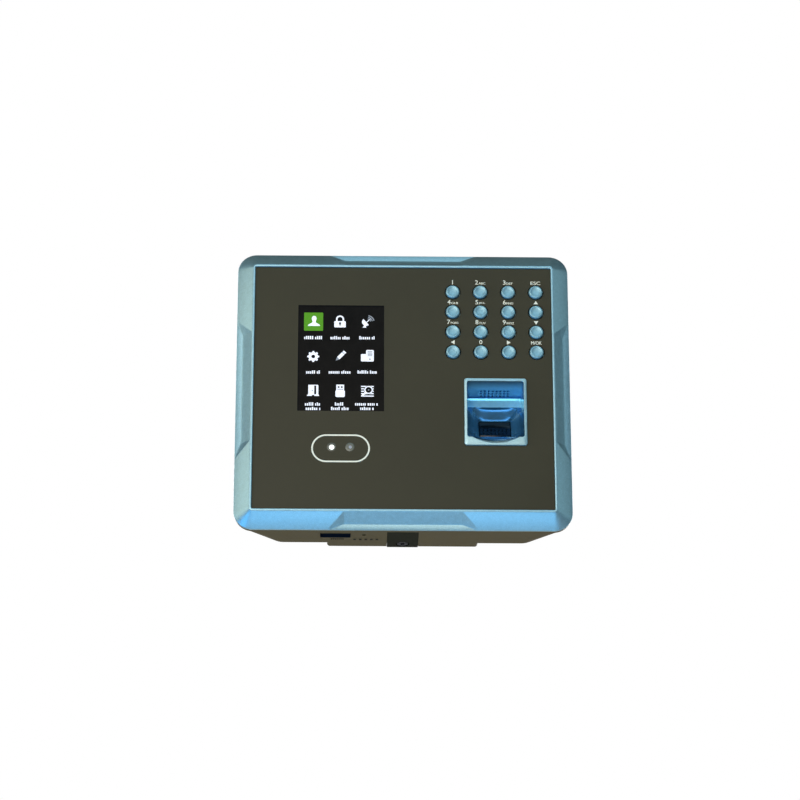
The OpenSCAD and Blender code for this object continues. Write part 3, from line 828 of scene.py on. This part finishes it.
def sensor_surround():
    """The pale raised frame round the finger recess, with its chamfered thumb cut-out."""
    bm = bmesh.new()
    soft = 0.22
    half_x, half_z = SENSOR_HALF
    stations = [(Y_FRAME, -soft), (Y_FRAME + soft * 0.3, -soft * 0.3), (Y_FRAME + soft, 0),
                (Y_PANEL + 2, 0)]
    rings = [ring(bm, at_y(rounded_rect(half_x + grow, half_z + grow, 1.2, 8, SENSOR_X, SENSOR_Z), y))
             for y, grow in stations]
    for low, high in zip(rings, rings[1:]):
        bridge(bm, low, high)
    inner = opening_loop()
    hole = ring(bm, at_sensor(inner))
    fill(bm, rings[0], hole)
    turned_in = ring(bm, at_sensor([(x * 0.988, y + 0.25, z * 0.988) for x, y, z in inner]))
    bridge(bm, hole, turned_in)
    lip = smile(SMILE_DEPTH, SMILE_X, Y_FRAME - SINK, Y_FRAME - SINK, 30)
    lip.append((-SMILE_X, Y_FRAME, OPENING_FLOOR))
    low = [*smile_foot(30), (-SMILE_X + SMILE_CHAMFER[0], Y_FRAME, OPENING_FLOOR)]
    bridge(bm, ring(bm, at_sensor(lip)), ring(bm, at_sensor(low)), closed=False)
    piece(bm, "sensor_surround", "sensor_lacquer", 24, SURROUND)


def rows_between(bm, rows, closed):
    """Quads between rows of points of the same length. Repeated points give triangles."""
    vert = shared_verts(bm)
    rows = [at_sensor(row) for row in rows]
    for low, high in zip(rows, rows[1:]):
        count = len(low)
        for i in range(count if closed else count - 1):
            j = (i + 1) % count
            corners = []
            for point in (low[i], low[j], high[j], high[i]):
                if vert(point) not in corners:
                    corners.append(vert(point))
            if len(corners) > 2:
                bm.faces.new(corners)


def wall_row(back, front_z, count=8):
    """A line from the recess's front left edge, round its back, to its front right edge."""
    y, z = back
    corner = (wall_x(y), y, z)
    front = (OPENING_X, Y_FRAME, front_z)
    left = [(-x, *rest) for x, *rest in run(front, corner, count)]
    across = run((-corner[0], y, z), corner, 2 * count)
    right = [*run(corner, front, count), front]
    return left + across + right


def recess_tube(bm):
    """The outer part: a ceiling that bends down and the side walls."""
    def across(y, z):
        return [(-wall_x(y), y, z), (wall_x(y), y, z)]

    rows_between(bm, [across(Y_FRAME, OPENING_TOP), across(*CEILING[0])], False)
    for side in (-1, 1):
        edge = [(side * OPENING_X, Y_FRAME, OPENING_TOP)]
        edge += [(side * wall_x(y), y, z) for y, z in CEILING + [STEP_BACK]]
        edge.append((side * OPENING_X, Y_FRAME, STEP_FRONT_Z[0]))
        bm.faces.new(ring(bm, at_sensor(edge)))
    rows_between(bm, [across(*CEILING[1]), across(*STEP_BACK)], False)


def recess_band():
    """A band round the recess, with a chamfer at its upper edge. Its paler, brighter blue is painted light,
    where the band catches the light.
    """
    bm = bmesh.new()
    stations = (STEP_BACK, lerp(STEP_BACK, BAND_TOP, 0.3), BAND_TOP, BAND_FOOT)
    rows = [wall_row(back, z) for back, z in zip(stations, STEP_FRONT_Z)]
    rows_between(bm, rows, False)
    piece(bm, "recess_band", "sensor_lacquer", 25, BAND)


def ceiling_vents(bm):
    """The sloped part of the ceiling, with three rows of eight vent holes."""
    (y0, z0), (y1, z1) = CEILING
    slope = Vector((0, y1 - y0, z1 - z0)).normalized()
    up = Vector((0, -slope.z, slope.y))
    middle = Vector((0, (y0 + y1) / 2, (z0 + z1) / 2)) + slope * VENT_SHIFT

    def loop(points):
        return ring(bm, at_sensor(points))

    sheet = loop([(-wall_x(y0), y0, z0), (wall_x(y0), y0, z0), (wall_x(y1), y1, z1), (-wall_x(y1), y1, z1)])
    mouths = []
    for row in range(VENT_ROWS):
        for column in range(VENT_COLUMNS):
            x = VENT_PITCH[0] * (column - (VENT_COLUMNS - 1) / 2)
            along = VENT_PITCH[1] * (row - (VENT_ROWS - 1) / 2)
            centre = middle + Vector((x, 0, 0)) + slope * along
            round_hole = [centre + Vector((a, 0, 0)) + slope * b for a, b in circle(0, 0, VENT_R, 20)]
            mouths.append(loop(round_hole))
            bottom = loop([p + up * VENT_DEPTH for p in round_hole])
            bridge(bm, mouths[-1], bottom)
            bm.faces.new(bottom)
    fill(bm, sheet, *mouths)


def finger_pocket(bm):
    """The inner part: a hollow hood and sides that narrow to the sensor's window."""
    count = 8
    foot_y, foot_z = BAND_FOOT
    corner = (wall_x(foot_y), foot_y, foot_z)
    front = (OPENING_X, Y_FRAME, STEP_FRONT_Z[-1])
    low = (OPENING_X, Y_FRAME, OPENING_FLOOR + OPENING_R)
    crease_top, crease_foot = (11.5, -23.6, 1.3), (9.5, -27.0, -11.8)
    window_top, window_foot = (WINDOW_HALF, *WINDOW_TOP), (WINDOW_HALF, *WINDOW_FOOT)

    def mirror(points):
        return [(-x, y, z) for x, y, z in reversed(points)]

    turn = at_y(arc(OPENING_X - OPENING_R, low[2], OPENING_R, 0, -90, count - 1), Y_FRAME)
    side = run(corner, front, count) + run(front, low, count) + turn
    outer = [*side, *smile_foot(3 * count), (-SMILE_X + SMILE_CHAMFER[0], Y_FRAME, OPENING_FLOOR),
             *mirror(side), *run((-corner[0], foot_y, foot_z), corner, 2 * count)[1:]]
    crease_side = [crease_top] * count + run(crease_top, crease_foot, count) + [crease_foot] * count
    arch = []
    for i in range(1, 2 * count):
        t = i / count - 1
        rise = math.sqrt(1 - abs(t) ** 9)
        arch.append(((crease_top[0] + 1.2) * t, crease_top[1] + 2.8 * rise, crease_top[2] + HOOD_RISE * rise))
    floor = run(crease_foot, (-crease_foot[0], *crease_foot[1:]), 3 * count)
    floor = [(x, y, z - 1.3 * (1 - (x / crease_foot[0]) ** 2)) for x, y, z in floor]
    crease = [*crease_side, *floor, (-crease_foot[0], *crease_foot[1:]), *mirror(crease_side), *arch]
    window_side = [window_top] * count + run(window_top, window_foot, count) + [window_foot] * count
    window = [*window_side, *run(window_foot, (-window_foot[0], *window_foot[1:]), 3 * count),
              (-window_foot[0], *window_foot[1:]), *mirror(window_side),
              *run((-window_top[0], *window_top[1:]), window_top, 2 * count)[1:]]
    steps = 12
    loops = [outer]
    for step in range(steps + 1):
        t = (step / steps) ** 1.6
        loop = []
        for a, b in zip(crease, window):
            x, y, z = lerp(a, b, t)
            under = max(0.0, (a[2] - crease_top[2]) / HOOD_RISE) * max(0.0, 1 - (a[0] / 10.5) ** 2)
            hollow = under * (1 - t) * (1 - (1 - t) ** 7)
            loop.append((x, y + 0.9 * hollow, z + 0.2 * hollow))
        loops.append(loop)
    edge = [(x * 0.985, y + 0.55, z - 0.7 if z > 0 else z) for x, y, z in window]
    deep = [(x * 0.985, y + 2.4, z - 0.9 if z > 0 else z + 0.9) for x, y, z in window]
    rows_between(bm, loops + [edge, deep], True)


def finger_recess():
    """The recess of the fingerprint sensor, from its front edge to the glass."""
    bm = bmesh.new()
    recess_tube(bm)
    ceiling_vents(bm)
    piece(bm, "recess_ceiling", "sensor_lacquer", 28,
          replaces=["sensor_frame"])
    recess_band()
    bm = bmesh.new()
    finger_pocket(bm)
    piece(bm, "finger_pocket", "sensor_lacquer", 28, POCKET)


# Painted reflection: dark dots on the glass that stand for the ceiling's vent holes mirrored in it
VENT_REFLECTION_ROWS = 2
VENT_REFLECTION_COLUMNS = 7
VENT_REFLECTION_PITCH = (1.9, 2.9)
VENT_REFLECTION_MARGIN = 2.0
VENT_REFLECTION_R = 0.42


def sensor_glass():
    """The dark glass under the finger, with a bevelled edge and two rows of dark dots that are painted
    reflections of the vent holes.
    """
    along = Vector((0, WINDOW_TOP[0] - WINDOW_FOOT[0], WINDOW_TOP[1] - WINDOW_FOOT[1])).normalized()
    out = Vector((0, -along.z, along.y))
    middle = Vector((0, (WINDOW_TOP[0] + WINDOW_FOOT[0]) / 2, (WINDOW_TOP[1] + WINDOW_FOOT[1]) / 2))
    half_x, half_z = GLASS_HALF
    bm = bmesh.new()

    def on_glass(points, lift):
        return at_sensor([middle + Vector((a, 0, 0)) + along * b + out * lift for a, b in points])

    stations = [(-2.0, 0.0), (-0.75, 0.0), (-0.3, -0.45)]
    rings = [ring(bm, on_glass(rounded_rect(half_x + grow, half_z + grow, 0.5, 4), lift))
             for lift, grow in stations]
    for low, high in zip(rings, rings[1:]):
        bridge(bm, low, high)
    bm.faces.new(rings[0])
    bm.faces.new(rings[-1])
    piece(bm, "prism_glass", "sensor_prism", 20, replaces=["sensor_glass"])
    bm = bmesh.new()
    # Painted reflections of the vent holes, as small dark dots on the glass
    for row in range(VENT_REFLECTION_ROWS):
        for column in range(VENT_REFLECTION_COLUMNS):
            x = VENT_REFLECTION_PITCH[0] * (column - (VENT_REFLECTION_COLUMNS - 1) / 2)
            dot = circle(x, -half_z + VENT_REFLECTION_MARGIN + VENT_REFLECTION_PITCH[1] * row, VENT_REFLECTION_R, 20)
            top, bottom = ring(bm, on_glass(dot, -0.26)), ring(bm, on_glass(dot, -0.32))
            bridge(bm, top, bottom)
            bm.faces.new(top)
    piece(bm, "prism_emitters", "sensor_prism", material=SCREEN_BLACK)


# ---------------- display

def rect(cx, cz, width, height, angle=0):
    half_x, half_z = width / 2, height / 2
    corners = [(-half_x, -half_z), (half_x, -half_z), (half_x, half_z), (-half_x, half_z)]
    return turned(corners, cx, cz, angle)


def soft_rect(cx, cz, width, height, r):
    return rounded_rect(width / 2, height / 2, r, 4, cx, cz)


SCREEN_T = 0.02
LAYER_T = 0.02


class Screen:
    """Collects flat shapes by colour, each layer a little in front of the last."""

    def __init__(self):
        self.meshes = {colour: bmesh.new() for colour in ("white", "green", "grey", "black")}
        self.centre = (0, 0)

    def draw(self, colour, outline, layer=1, inner=None):
        """The outline is measured from the centre of the icon that is being drawn."""
        back = Y_PANEL - SCREEN_T
        loops = [turned(loop, *self.centre, 0) for loop in (outline, inner) if loop]
        plate(self.meshes[colour], loops[0], back - LAYER_T * layer, back, *loops[1:])


def icon_person(s):
    s.draw("green", soft_rect(0, 0, 9.6, 10.0, 0.5))
    head = [(0.27 + 1.2 * x, 1.7 + 1.5 * z) for x, z in circle(0, 0, 1)]
    s.draw("white", head, 2)
    s.draw("white", [(-0.55, 0.8), (-0.6, -0.5), (-2.5, -1.55), (-2.95, -2.35), (3.3, -2.35), (2.95, -1.55),
                     (1.1, -0.5), (1.05, 0.8)], 2)


def icon_lock(s):
    s.draw("white", soft_rect(0, -1.55, 5.8, 3.4, 0.4))
    s.draw("black", circle(0, -1.0, 0.55), 2)
    s.draw("black", rect(0, -1.7, 0.55, 1.2), 2)
    outer = arc(0, 1.25, 2.05, 0, 180, 18)
    inner = arc(0, 1.25, 1.25, 180, 0, 18)
    s.draw("white", [(2.05, 0), *outer, (-2.05, 0), (-1.25, 0), *inner, (1.25, 0)])


def icon_dish(s):
    s.draw("white", turned(arc(0, 0, 2.1, 0, 180, 18), -1.05, -0.2, 130))
    s.draw("white", rect(0.1, 0.55, 2.6, 0.4, 45))
    s.draw("white", [(-2.9, -3.3), (-0.95, -3.3), (-1.4, -1.2)])
    for r in (2.0, 2.9, 3.8):
        outer = arc(-0.6, -0.2, r, 12, 78, 12)
        inner = arc(-0.6, -0.2, r - 0.5, 78, 12, 12)
        s.draw("grey", outer + inner)


def icon_gear(s):
    outer, inner = [], []
    teeth, steps = 8, 6
    for i in range(teeth * steps):
        a = 2 * math.pi * (i / (teeth * steps) + 1 / (2 * teeth))
        r = 3.0 if i % steps in (2, 3, 4) else 2.35
        outer.append((r * math.cos(a), r * math.sin(a)))
        inner.append((0.95 * math.cos(a), 0.95 * math.sin(a)))
    s.draw("white", outer, 1, inner)


def icon_pencil(s):
    s.draw("white", rect(0.55, 0.6, 4.9, 1.75, 47))
    s.draw("grey", turned([(0, 0.88), (0, -0.88), (-1.9, 0)], -1.12, -1.19, 47))
    s.draw("grey", rect(1.45, 1.55, 0.35, 1.75, 47), 2)


def icon_files(s):
    s.draw("white", soft_rect(1.3, 0.1, 3.9, 6.3, 0.6))
    for row in range(4):
        s.draw("grey", rect(1.3, 2.3 - 0.75 * row, 2.4, 0.45), 2)
    s.draw("black", circle(1.3, -1.75, 0.35), 3)
    s.draw("white", [(-3.2, -2.7), (-2.9, -3.0), (0.5, -3.0), (0.5, 0.2), (-0.2, 0.3), (-0.7, 1.0),
                     (-2.9, 1.0), (-3.2, 0.7)], 2)


def icon_door(s):
    s.draw("white", [(-3.0, -3.0), (3.0, -3.0), (3.0, -2.5), (2.6, -2.1), (2.6, 2.6), (2.3, 3.0),
                     (-2.4, 3.0), (-2.4, -2.1), (-3.0, -2.5)], 1)
    s.draw("black", rect(1.05, 0.2, 1.0, 4.7), 2)
    s.draw("black", rect(0.0, -2.9, 1.1, 0.9), 2)
    s.draw("grey", circle(-0.45, 0.0, 0.35), 2)


def icon_stick(s):
    s.draw("white", soft_rect(0, -1.55, 4.7, 3.75, 0.7))
    s.draw("white", soft_rect(0, 1.75, 3.9, 3.1, 0.3))
    for side in (-1, 1):
        s.draw("black", rect(side * 0.8, 1.95, 0.85, 0.85), 2)
    s.draw("grey", rect(0, 0.75, 3.1, 0.4), 2)


def icon_search(s):
    for row in range(5):
        s.draw("white", rect(0, 2.6 - 1.3 * row, 6.3, 0.6))
    s.draw("black", circle(0.6, 0.7, 2.3), 2)
    s.draw("white", circle(0.6, 0.7, 2.15), 3, circle(0.6, 0.7, 1.55))
    s.draw("grey", circle(0.6, 0.7, 0.35), 3)
    s.draw("white", [(-1.2, -0.3), (-0.4, -1.1), (-2.5, -2.8), (-3.1, -2.3)], 3)


CAPTION_DROP = 0.75
WORD_LENGTHS = (4, 5, 6)
WORD_GAP = 0.6
BLOCK_WIDTHS = (0.55, 0.65, 0.75)
BLOCK_GAP = 0.3
LOW_BLOCK = 1.3
TALL_BLOCK = 1.75
TALL_SHARE = 0.25


def label(s, x0, x1, z, rng):
    """A caption as small even blocks, which stand for letters and spell nothing."""
    s.centre = (x0, z - CAPTION_DROP)
    x = 0
    left_in_word = rng.choice(WORD_LENGTHS)
    while x < x1 - x0 - BLOCK_GAP:
        width = rng.choice(BLOCK_WIDTHS)
        height = TALL_BLOCK if rng.random() < TALL_SHARE else LOW_BLOCK
        s.draw("white", rect(x + width / 2, height / 2, width, height))
        x += width + BLOCK_GAP
        left_in_word -= 1
        if left_in_word == 0:
            x += WORD_GAP
            left_in_word = rng.choice(WORD_LENGTHS)


SCREEN_ROWS = [
    # icon, its centre, then each caption line's first and last x and its z
    (icon_person, (-45.1, 35.3), [(-49.75, -40.5, 26.4)]),
    (icon_lock, (-31.8, 35.5), [(-36.6, -26.7, 26.4)]),
    (icon_dish, (-17.6, 35.5), [(-22.1, -14.2, 26.5)]),
    (icon_gear, (-45.1, 16.2), [(-48.6, -41.5, 7.6)]),
    (icon_pencil, (-31.4, 16.6), [(-37.3, -25.8, 7.7)]),
    (icon_files, (-18.0, 16.7), [(-22.9, -13.4, 7.8)]),
    (icon_door, (-45.0, -2.2), [(-49.0, -41.7, -9.7), (-48.6, -41.4, -12.1)]),
    (icon_stick, (-31.5, -2.3), [(-34.1, -29.7, -9.6), (-36.0, -27.0, -12.0)]),
    (icon_search, (-17.9, -2.5), [(-24.0, -12.7, -9.5), (-21.5, -14.4, -11.9)]),
]


def display():
    """The lit display: a dark face in a black border, with the icons and captions on it."""
    cx, cz = SCREEN_CENTRE
    half_x, half_z = SCREEN_SIZE[0] / 2, SCREEN_SIZE[1] / 2
    bm = bmesh.new()
    whole = rounded_rect(half_x, half_z, 0.25, 4, cx, cz)
    plate(bm, whole, Y_PANEL - SCREEN_T, Y_PANEL + SINK)
    piece(bm, "screen_face", "display_glass")
    bm = bmesh.new()
    lit = rounded_rect(half_x - 0.35, half_z - 0.45, 0.2, 4, cx + 0.15, cz - 0.4)
    plate(bm, whole, Y_PANEL - INK_T, Y_PANEL - SINK, lit)
    piece(bm, "screen_border", "display_glass", material=SCREEN_BLACK)
    screen = Screen()
    rng = random.Random(RANDOM_SEED)
    for icon, centre, captions in SCREEN_ROWS:
        screen.centre = centre
        icon(screen)
        for x0, x1, caption_z in captions:
            label(screen, x0, x1, caption_z, rng)
    colours = {"white": PIXEL_WHITE, "green": PIXEL_GREEN, "grey": PIXEL_GREY_AND_LENS_SHEEN,
               "black": MATERIALS["display_glass"]}
    for colour, bm in screen.meshes.items():
        piece(bm, "screen_" + colour, "display_glass", material=colours[colour])


# ---------------- camera window

def stadium(width, height, count=24):
    r = height / 2
    half = width / 2 - r
    cx, cz = WINDOW_CENTRE
    return arc(cx + half, cz, r, -90, 90, count) + arc(cx - half, cz, r, 90, 270, count)


def lens(name, material, profile, cx, cz, segments=48):
    """A shallow round cap on the panel, from its profile [(radius, height over the panel)]."""
    bm = bmesh.new()
    lathe(bm, [(r, Y_PANEL - height) for r, height in profile], cx, cz, segments)
    piece(bm, name, "camera_housing", 35, material)


def camera_window():
    """The printed outline of the camera window and the two round eyes in it."""
    bm = bmesh.new()
    width, height = WINDOW_SIZE
    plate(bm, stadium(width, height), Y_PANEL - INK_T, Y_PANEL + SINK,
          stadium(width - 2 * WINDOW_LINE, height - 2 * WINDOW_LINE))
    piece(bm, "window_outline", "panel_acrylic", material=INK_WITH_PAINTED_GLOW)
    eye = [(0, 0.04), (1.6, 0.05), (2.1, 0.035), (2.3, -SINK), (0, -SINK)]
    glow = [(0, 0.16), (0.6, 0.15), (1.1, 0.10), (1.35, 0.04), (0, 0.04)]
    pupil = [(0, 0.12), (0.5, 0.11), (0.8, 0.045), (0, 0.045)]
    lens("eye_left", EYE_RING, eye, EYES_X[0], EYES_Z)
    lens("eye_right", EYE_GREY, eye, EYES_X[1], EYES_Z)
    lens("eye_left_glow", EYE_WHITE, glow, EYES_X[0] + 0.1, EYES_Z - 0.15)
    # Painted sheen: the lens glows grey with the screen's pixel material, though it is no lamp
    lens("eye_right_lens", PIXEL_GREY_AND_LENS_SHEEN, pupil, EYES_X[1] + 0.2, EYES_Z, 32)


# ---------------- underside

USB_FACE = (13.9, 4.2)
USB_SLOT = (15.0, 5.0)
# Thickness of the painted-shade sheets on the slot walls
SHADE_SHEET_T = 0.1
CONTACT_PITCH = 2.5


def slabs_under(name, material, slot, blocks, z_low, z_high):
    """Small flat blocks (x, y, width, depth) that lie level under the case."""
    bm = bmesh.new()
    for x, y, width, depth in blocks:
        place = Matrix.Translation(mm(x, y, (z_low + z_high) / 2))
        size = Matrix.Diagonal((width * MM, depth * MM, (z_high - z_low) * MM, 1))
        bmesh.ops.create_cube(bm, size=1.0, matrix=place @ size)
    piece(bm, name, slot, material=material)


def usb_mouth():
    """Painted shade: a dark sheet over the socket's face and dark sheets on the slot walls, with the tongue
    and four contacts.
    """
    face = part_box("usb_socket")[0][2] / MM
    lip = CASE_BOTTOM + 0.03
    x, y = USB_CENTRE
    steel = MATERIALS["socket_steel"]
    slot_shade_sheets = [(x, y + side * USB_SLOT[1] / 2, USB_SLOT[0], SHADE_SHEET_T) for side in (-1, 1)]
    slot_shade_sheets += [(x + side * (USB_SLOT[0] - SHADE_SHEET_T) / 2, y, SHADE_SHEET_T, USB_SLOT[1]) for side in (-1, 1)]
    contacts = [(x + step * CONTACT_PITCH, y + 0.2, 1.1, 0.35) for step in (-1.5, -0.5, 0.5, 1.5)]
    # Painted shade: the dark sheet over the socket's face stands for its dark cavity
    slabs_under("usb_face", USB_PAINTED_SHADE, "socket_steel", [(x, y, *USB_FACE)], face - 0.25, face - 0.05)
    slabs_under("usb_tongue", USB_BLUE, "socket_steel", [(x, y - 0.7, 11.2, 1.5)], face - 0.55, face - 0.2)
    # Painted shade: dark sheets on the slot walls
    slabs_under("usb_lining", USB_PAINTED_SHADE, "socket_steel", slot_shade_sheets, lip, face - 0.05)
    slabs_under("usb_contacts", steel, "socket_steel", contacts, face - 0.5, face - 0.2)


def case_marks():
    """Small plain marks beside the socket and the reset hole, which spell nothing."""
    rng = random.Random(RANDOM_SEED)
    small = [(-35.3 + 0.95 * i, -12.0, 0.62, rng.choice((0.9, 1.2))) for i in range(7)]
    large = [(-23.8 + 2.75 * i, -11.4, 1.25, 1.1) for i in range(5)]
    slabs_under("case_marks", MARK_INK, "case_plastic", small + large, CASE_BOTTOM - 0.02,
                CASE_BOTTOM + 0.05)


# ---------------- scene

def softbox(name, position, size, power, colour):
    light = bpy.data.lights.new(name, "AREA")
    light.shape = "RECTANGLE"
    light.size, light.size_y = size
    light.energy = power
    light.color = colour
    obj = bpy.data.objects.new(name, light)
    bpy.context.scene.collection.objects.link(obj)
    obj.location = position
    obj.rotation_mode = "QUATERNION"
    obj.rotation_quaternion = (-Vector(position)).to_track_quat("-Z", "Y")
    obj.visible_camera = False


def world_light():
    """A white backdrop for the camera, which lights the object only from behind."""
    world = bpy.data.worlds.new("studio")
    bpy.context.scene.world = world
    w = Nodes(world)
    out, mix, path, coords, split, rise, seen, glow = [w.node(kind) for kind in (
        "OutputWorld", "MixShader", "LightPath", "TexCoord", "SeparateXYZ", "MapRange",
        "Background", "Background")]
    for back in (seen, glow):
        back.inputs["Color"].default_value = (1, 1, 1, 1)
    rise.inputs["From Min"].default_value = 0.5
    rise.inputs["From Max"].default_value = 0.85
    w.link(coords.outputs["Generated"], split.inputs[0])
    w.link(split.outputs["Y"], rise.inputs["Value"])
    w.link(rise.outputs[0], glow.inputs["Strength"])
    w.link(path.outputs["Is Camera Ray"], mix.inputs[0])
    w.link(glow.outputs[0], mix.inputs[1])
    w.link(seen.outputs[0], mix.inputs[2])
    w.link(mix.outputs[0], out.inputs[0])


# name, position and size in metres, watts, colour
SOFTBOXES = [
    ("behind_left", (-0.90, 1.30, 0.60), (1.0, 1.0), 14.0, (1.0, 0.98, 0.95)),
    ("behind_right", (0.90, 1.30, 0.20), (1.0, 1.0), 10.0, (0.95, 0.98, 1.0)),
    ("low_front", (0.0, -0.75, -0.90), (0.9, 0.45), 3.1, (0.09, 0.53, 1.0)),
    ("low_left", (-0.90, -0.50, -0.80), (0.7, 0.5), 5.0, (0.03, 0.46, 1.0)),
    ("low_spark", (0.05, -0.80, -0.98), (0.30, 0.25), 0.35, (0.75, 0.92, 1.0)),
    ("left", (-1.05, -0.45, 0.15), (0.8, 0.9), 5.2, (1.0, 0.87, 0.65)),
    ("right", (1.05, -0.45, 0.25), (0.8, 0.9), 1.6, (0.77, 0.99, 1.0)),
    ("front", (-0.35, -1.70, 0.25), (0.9, 0.8), 12.2, (1.0, 0.92, 0.80)),
    ("front_high", (0.20, -1.30, 1.10), (0.9, 0.9), 5.2, (0.56, 0.85, 1.0)),
    ("under", (0.0, 0.55, -0.90), (0.9, 0.6), 1.5, (1.0, 0.70, 0.35)),
]
FLOOR_HALF = 4000.0
FLOOR_Z = -1200.0
FLOOR_LIFT = 0.5


def floor():
    """A plain pale floor well below the object. The lift only makes it paler to the camera."""
    bm = bmesh.new()
    corners = rect(0, 0, 2 * FLOOR_HALF, 2 * FLOOR_HALF)
    bm.faces.new([bm.verts.new(mm(x, y, FLOOR_Z)) for x, y in corners])
    s = Shader("floor_pale")
    s.colour(s.ramp(s.noise(300.0, 2.0), [(0.3, (0.78, 0.78, 0.77)), (0.7, (0.82, 0.82, 0.81))]))
    s.link(s.node("LightPath").outputs["Is Camera Ray"], s.bsdf.inputs["Emission Strength"])
    s.set(Roughness=0.9, Emission_Color=(*grey(FLOOR_LIFT), 1.0))
    finish_mesh(bm, "floor", s.mat)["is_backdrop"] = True


def studio():
    world_light()
    for box in SOFTBOXES:
        softbox(*box)
    floor()
    bpy.context.scene.view_settings.view_transform = "Standard"


def main_camera():
    data = bpy.data.cameras.new("camera")
    data.lens = CAMERA_LENS
    data.clip_end = 50.0
    obj = bpy.data.objects.new("camera", data)
    bpy.context.scene.collection.objects.link(obj)
    a, e = CAMERA_AZIMUTH, CAMERA_ELEVATION
    back = Vector((-math.sin(a) * math.cos(e), -math.cos(a) * math.cos(e), math.sin(e)))
    obj.location = CAMERA_TARGET + back * CAMERA_DISTANCE
    obj.rotation_mode = "QUATERNION"
    roll = Matrix.Rotation(CAMERA_ROLL, 4, "Z").to_quaternion()
    obj.rotation_quaternion = (-back).to_track_quat("-Z", "Y") @ roll
    bpy.context.scene.camera = obj


def main():
    main_camera()
    studio()
    dress_cad_nodes()
    front_cover()
    front_panel()
    sensor_surround()
    finger_recess()
    sensor_glass()
    for name in KEY_LEGENDS:
        key_cap(name)
    key_legends()
    display()
    camera_window()
    usb_mouth()
    case_marks()


main()
boxes = {"cad": CAD_BOX, "visual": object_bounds()}
{name: [list(corner) for corner in box] for name, box in boxes.items()}
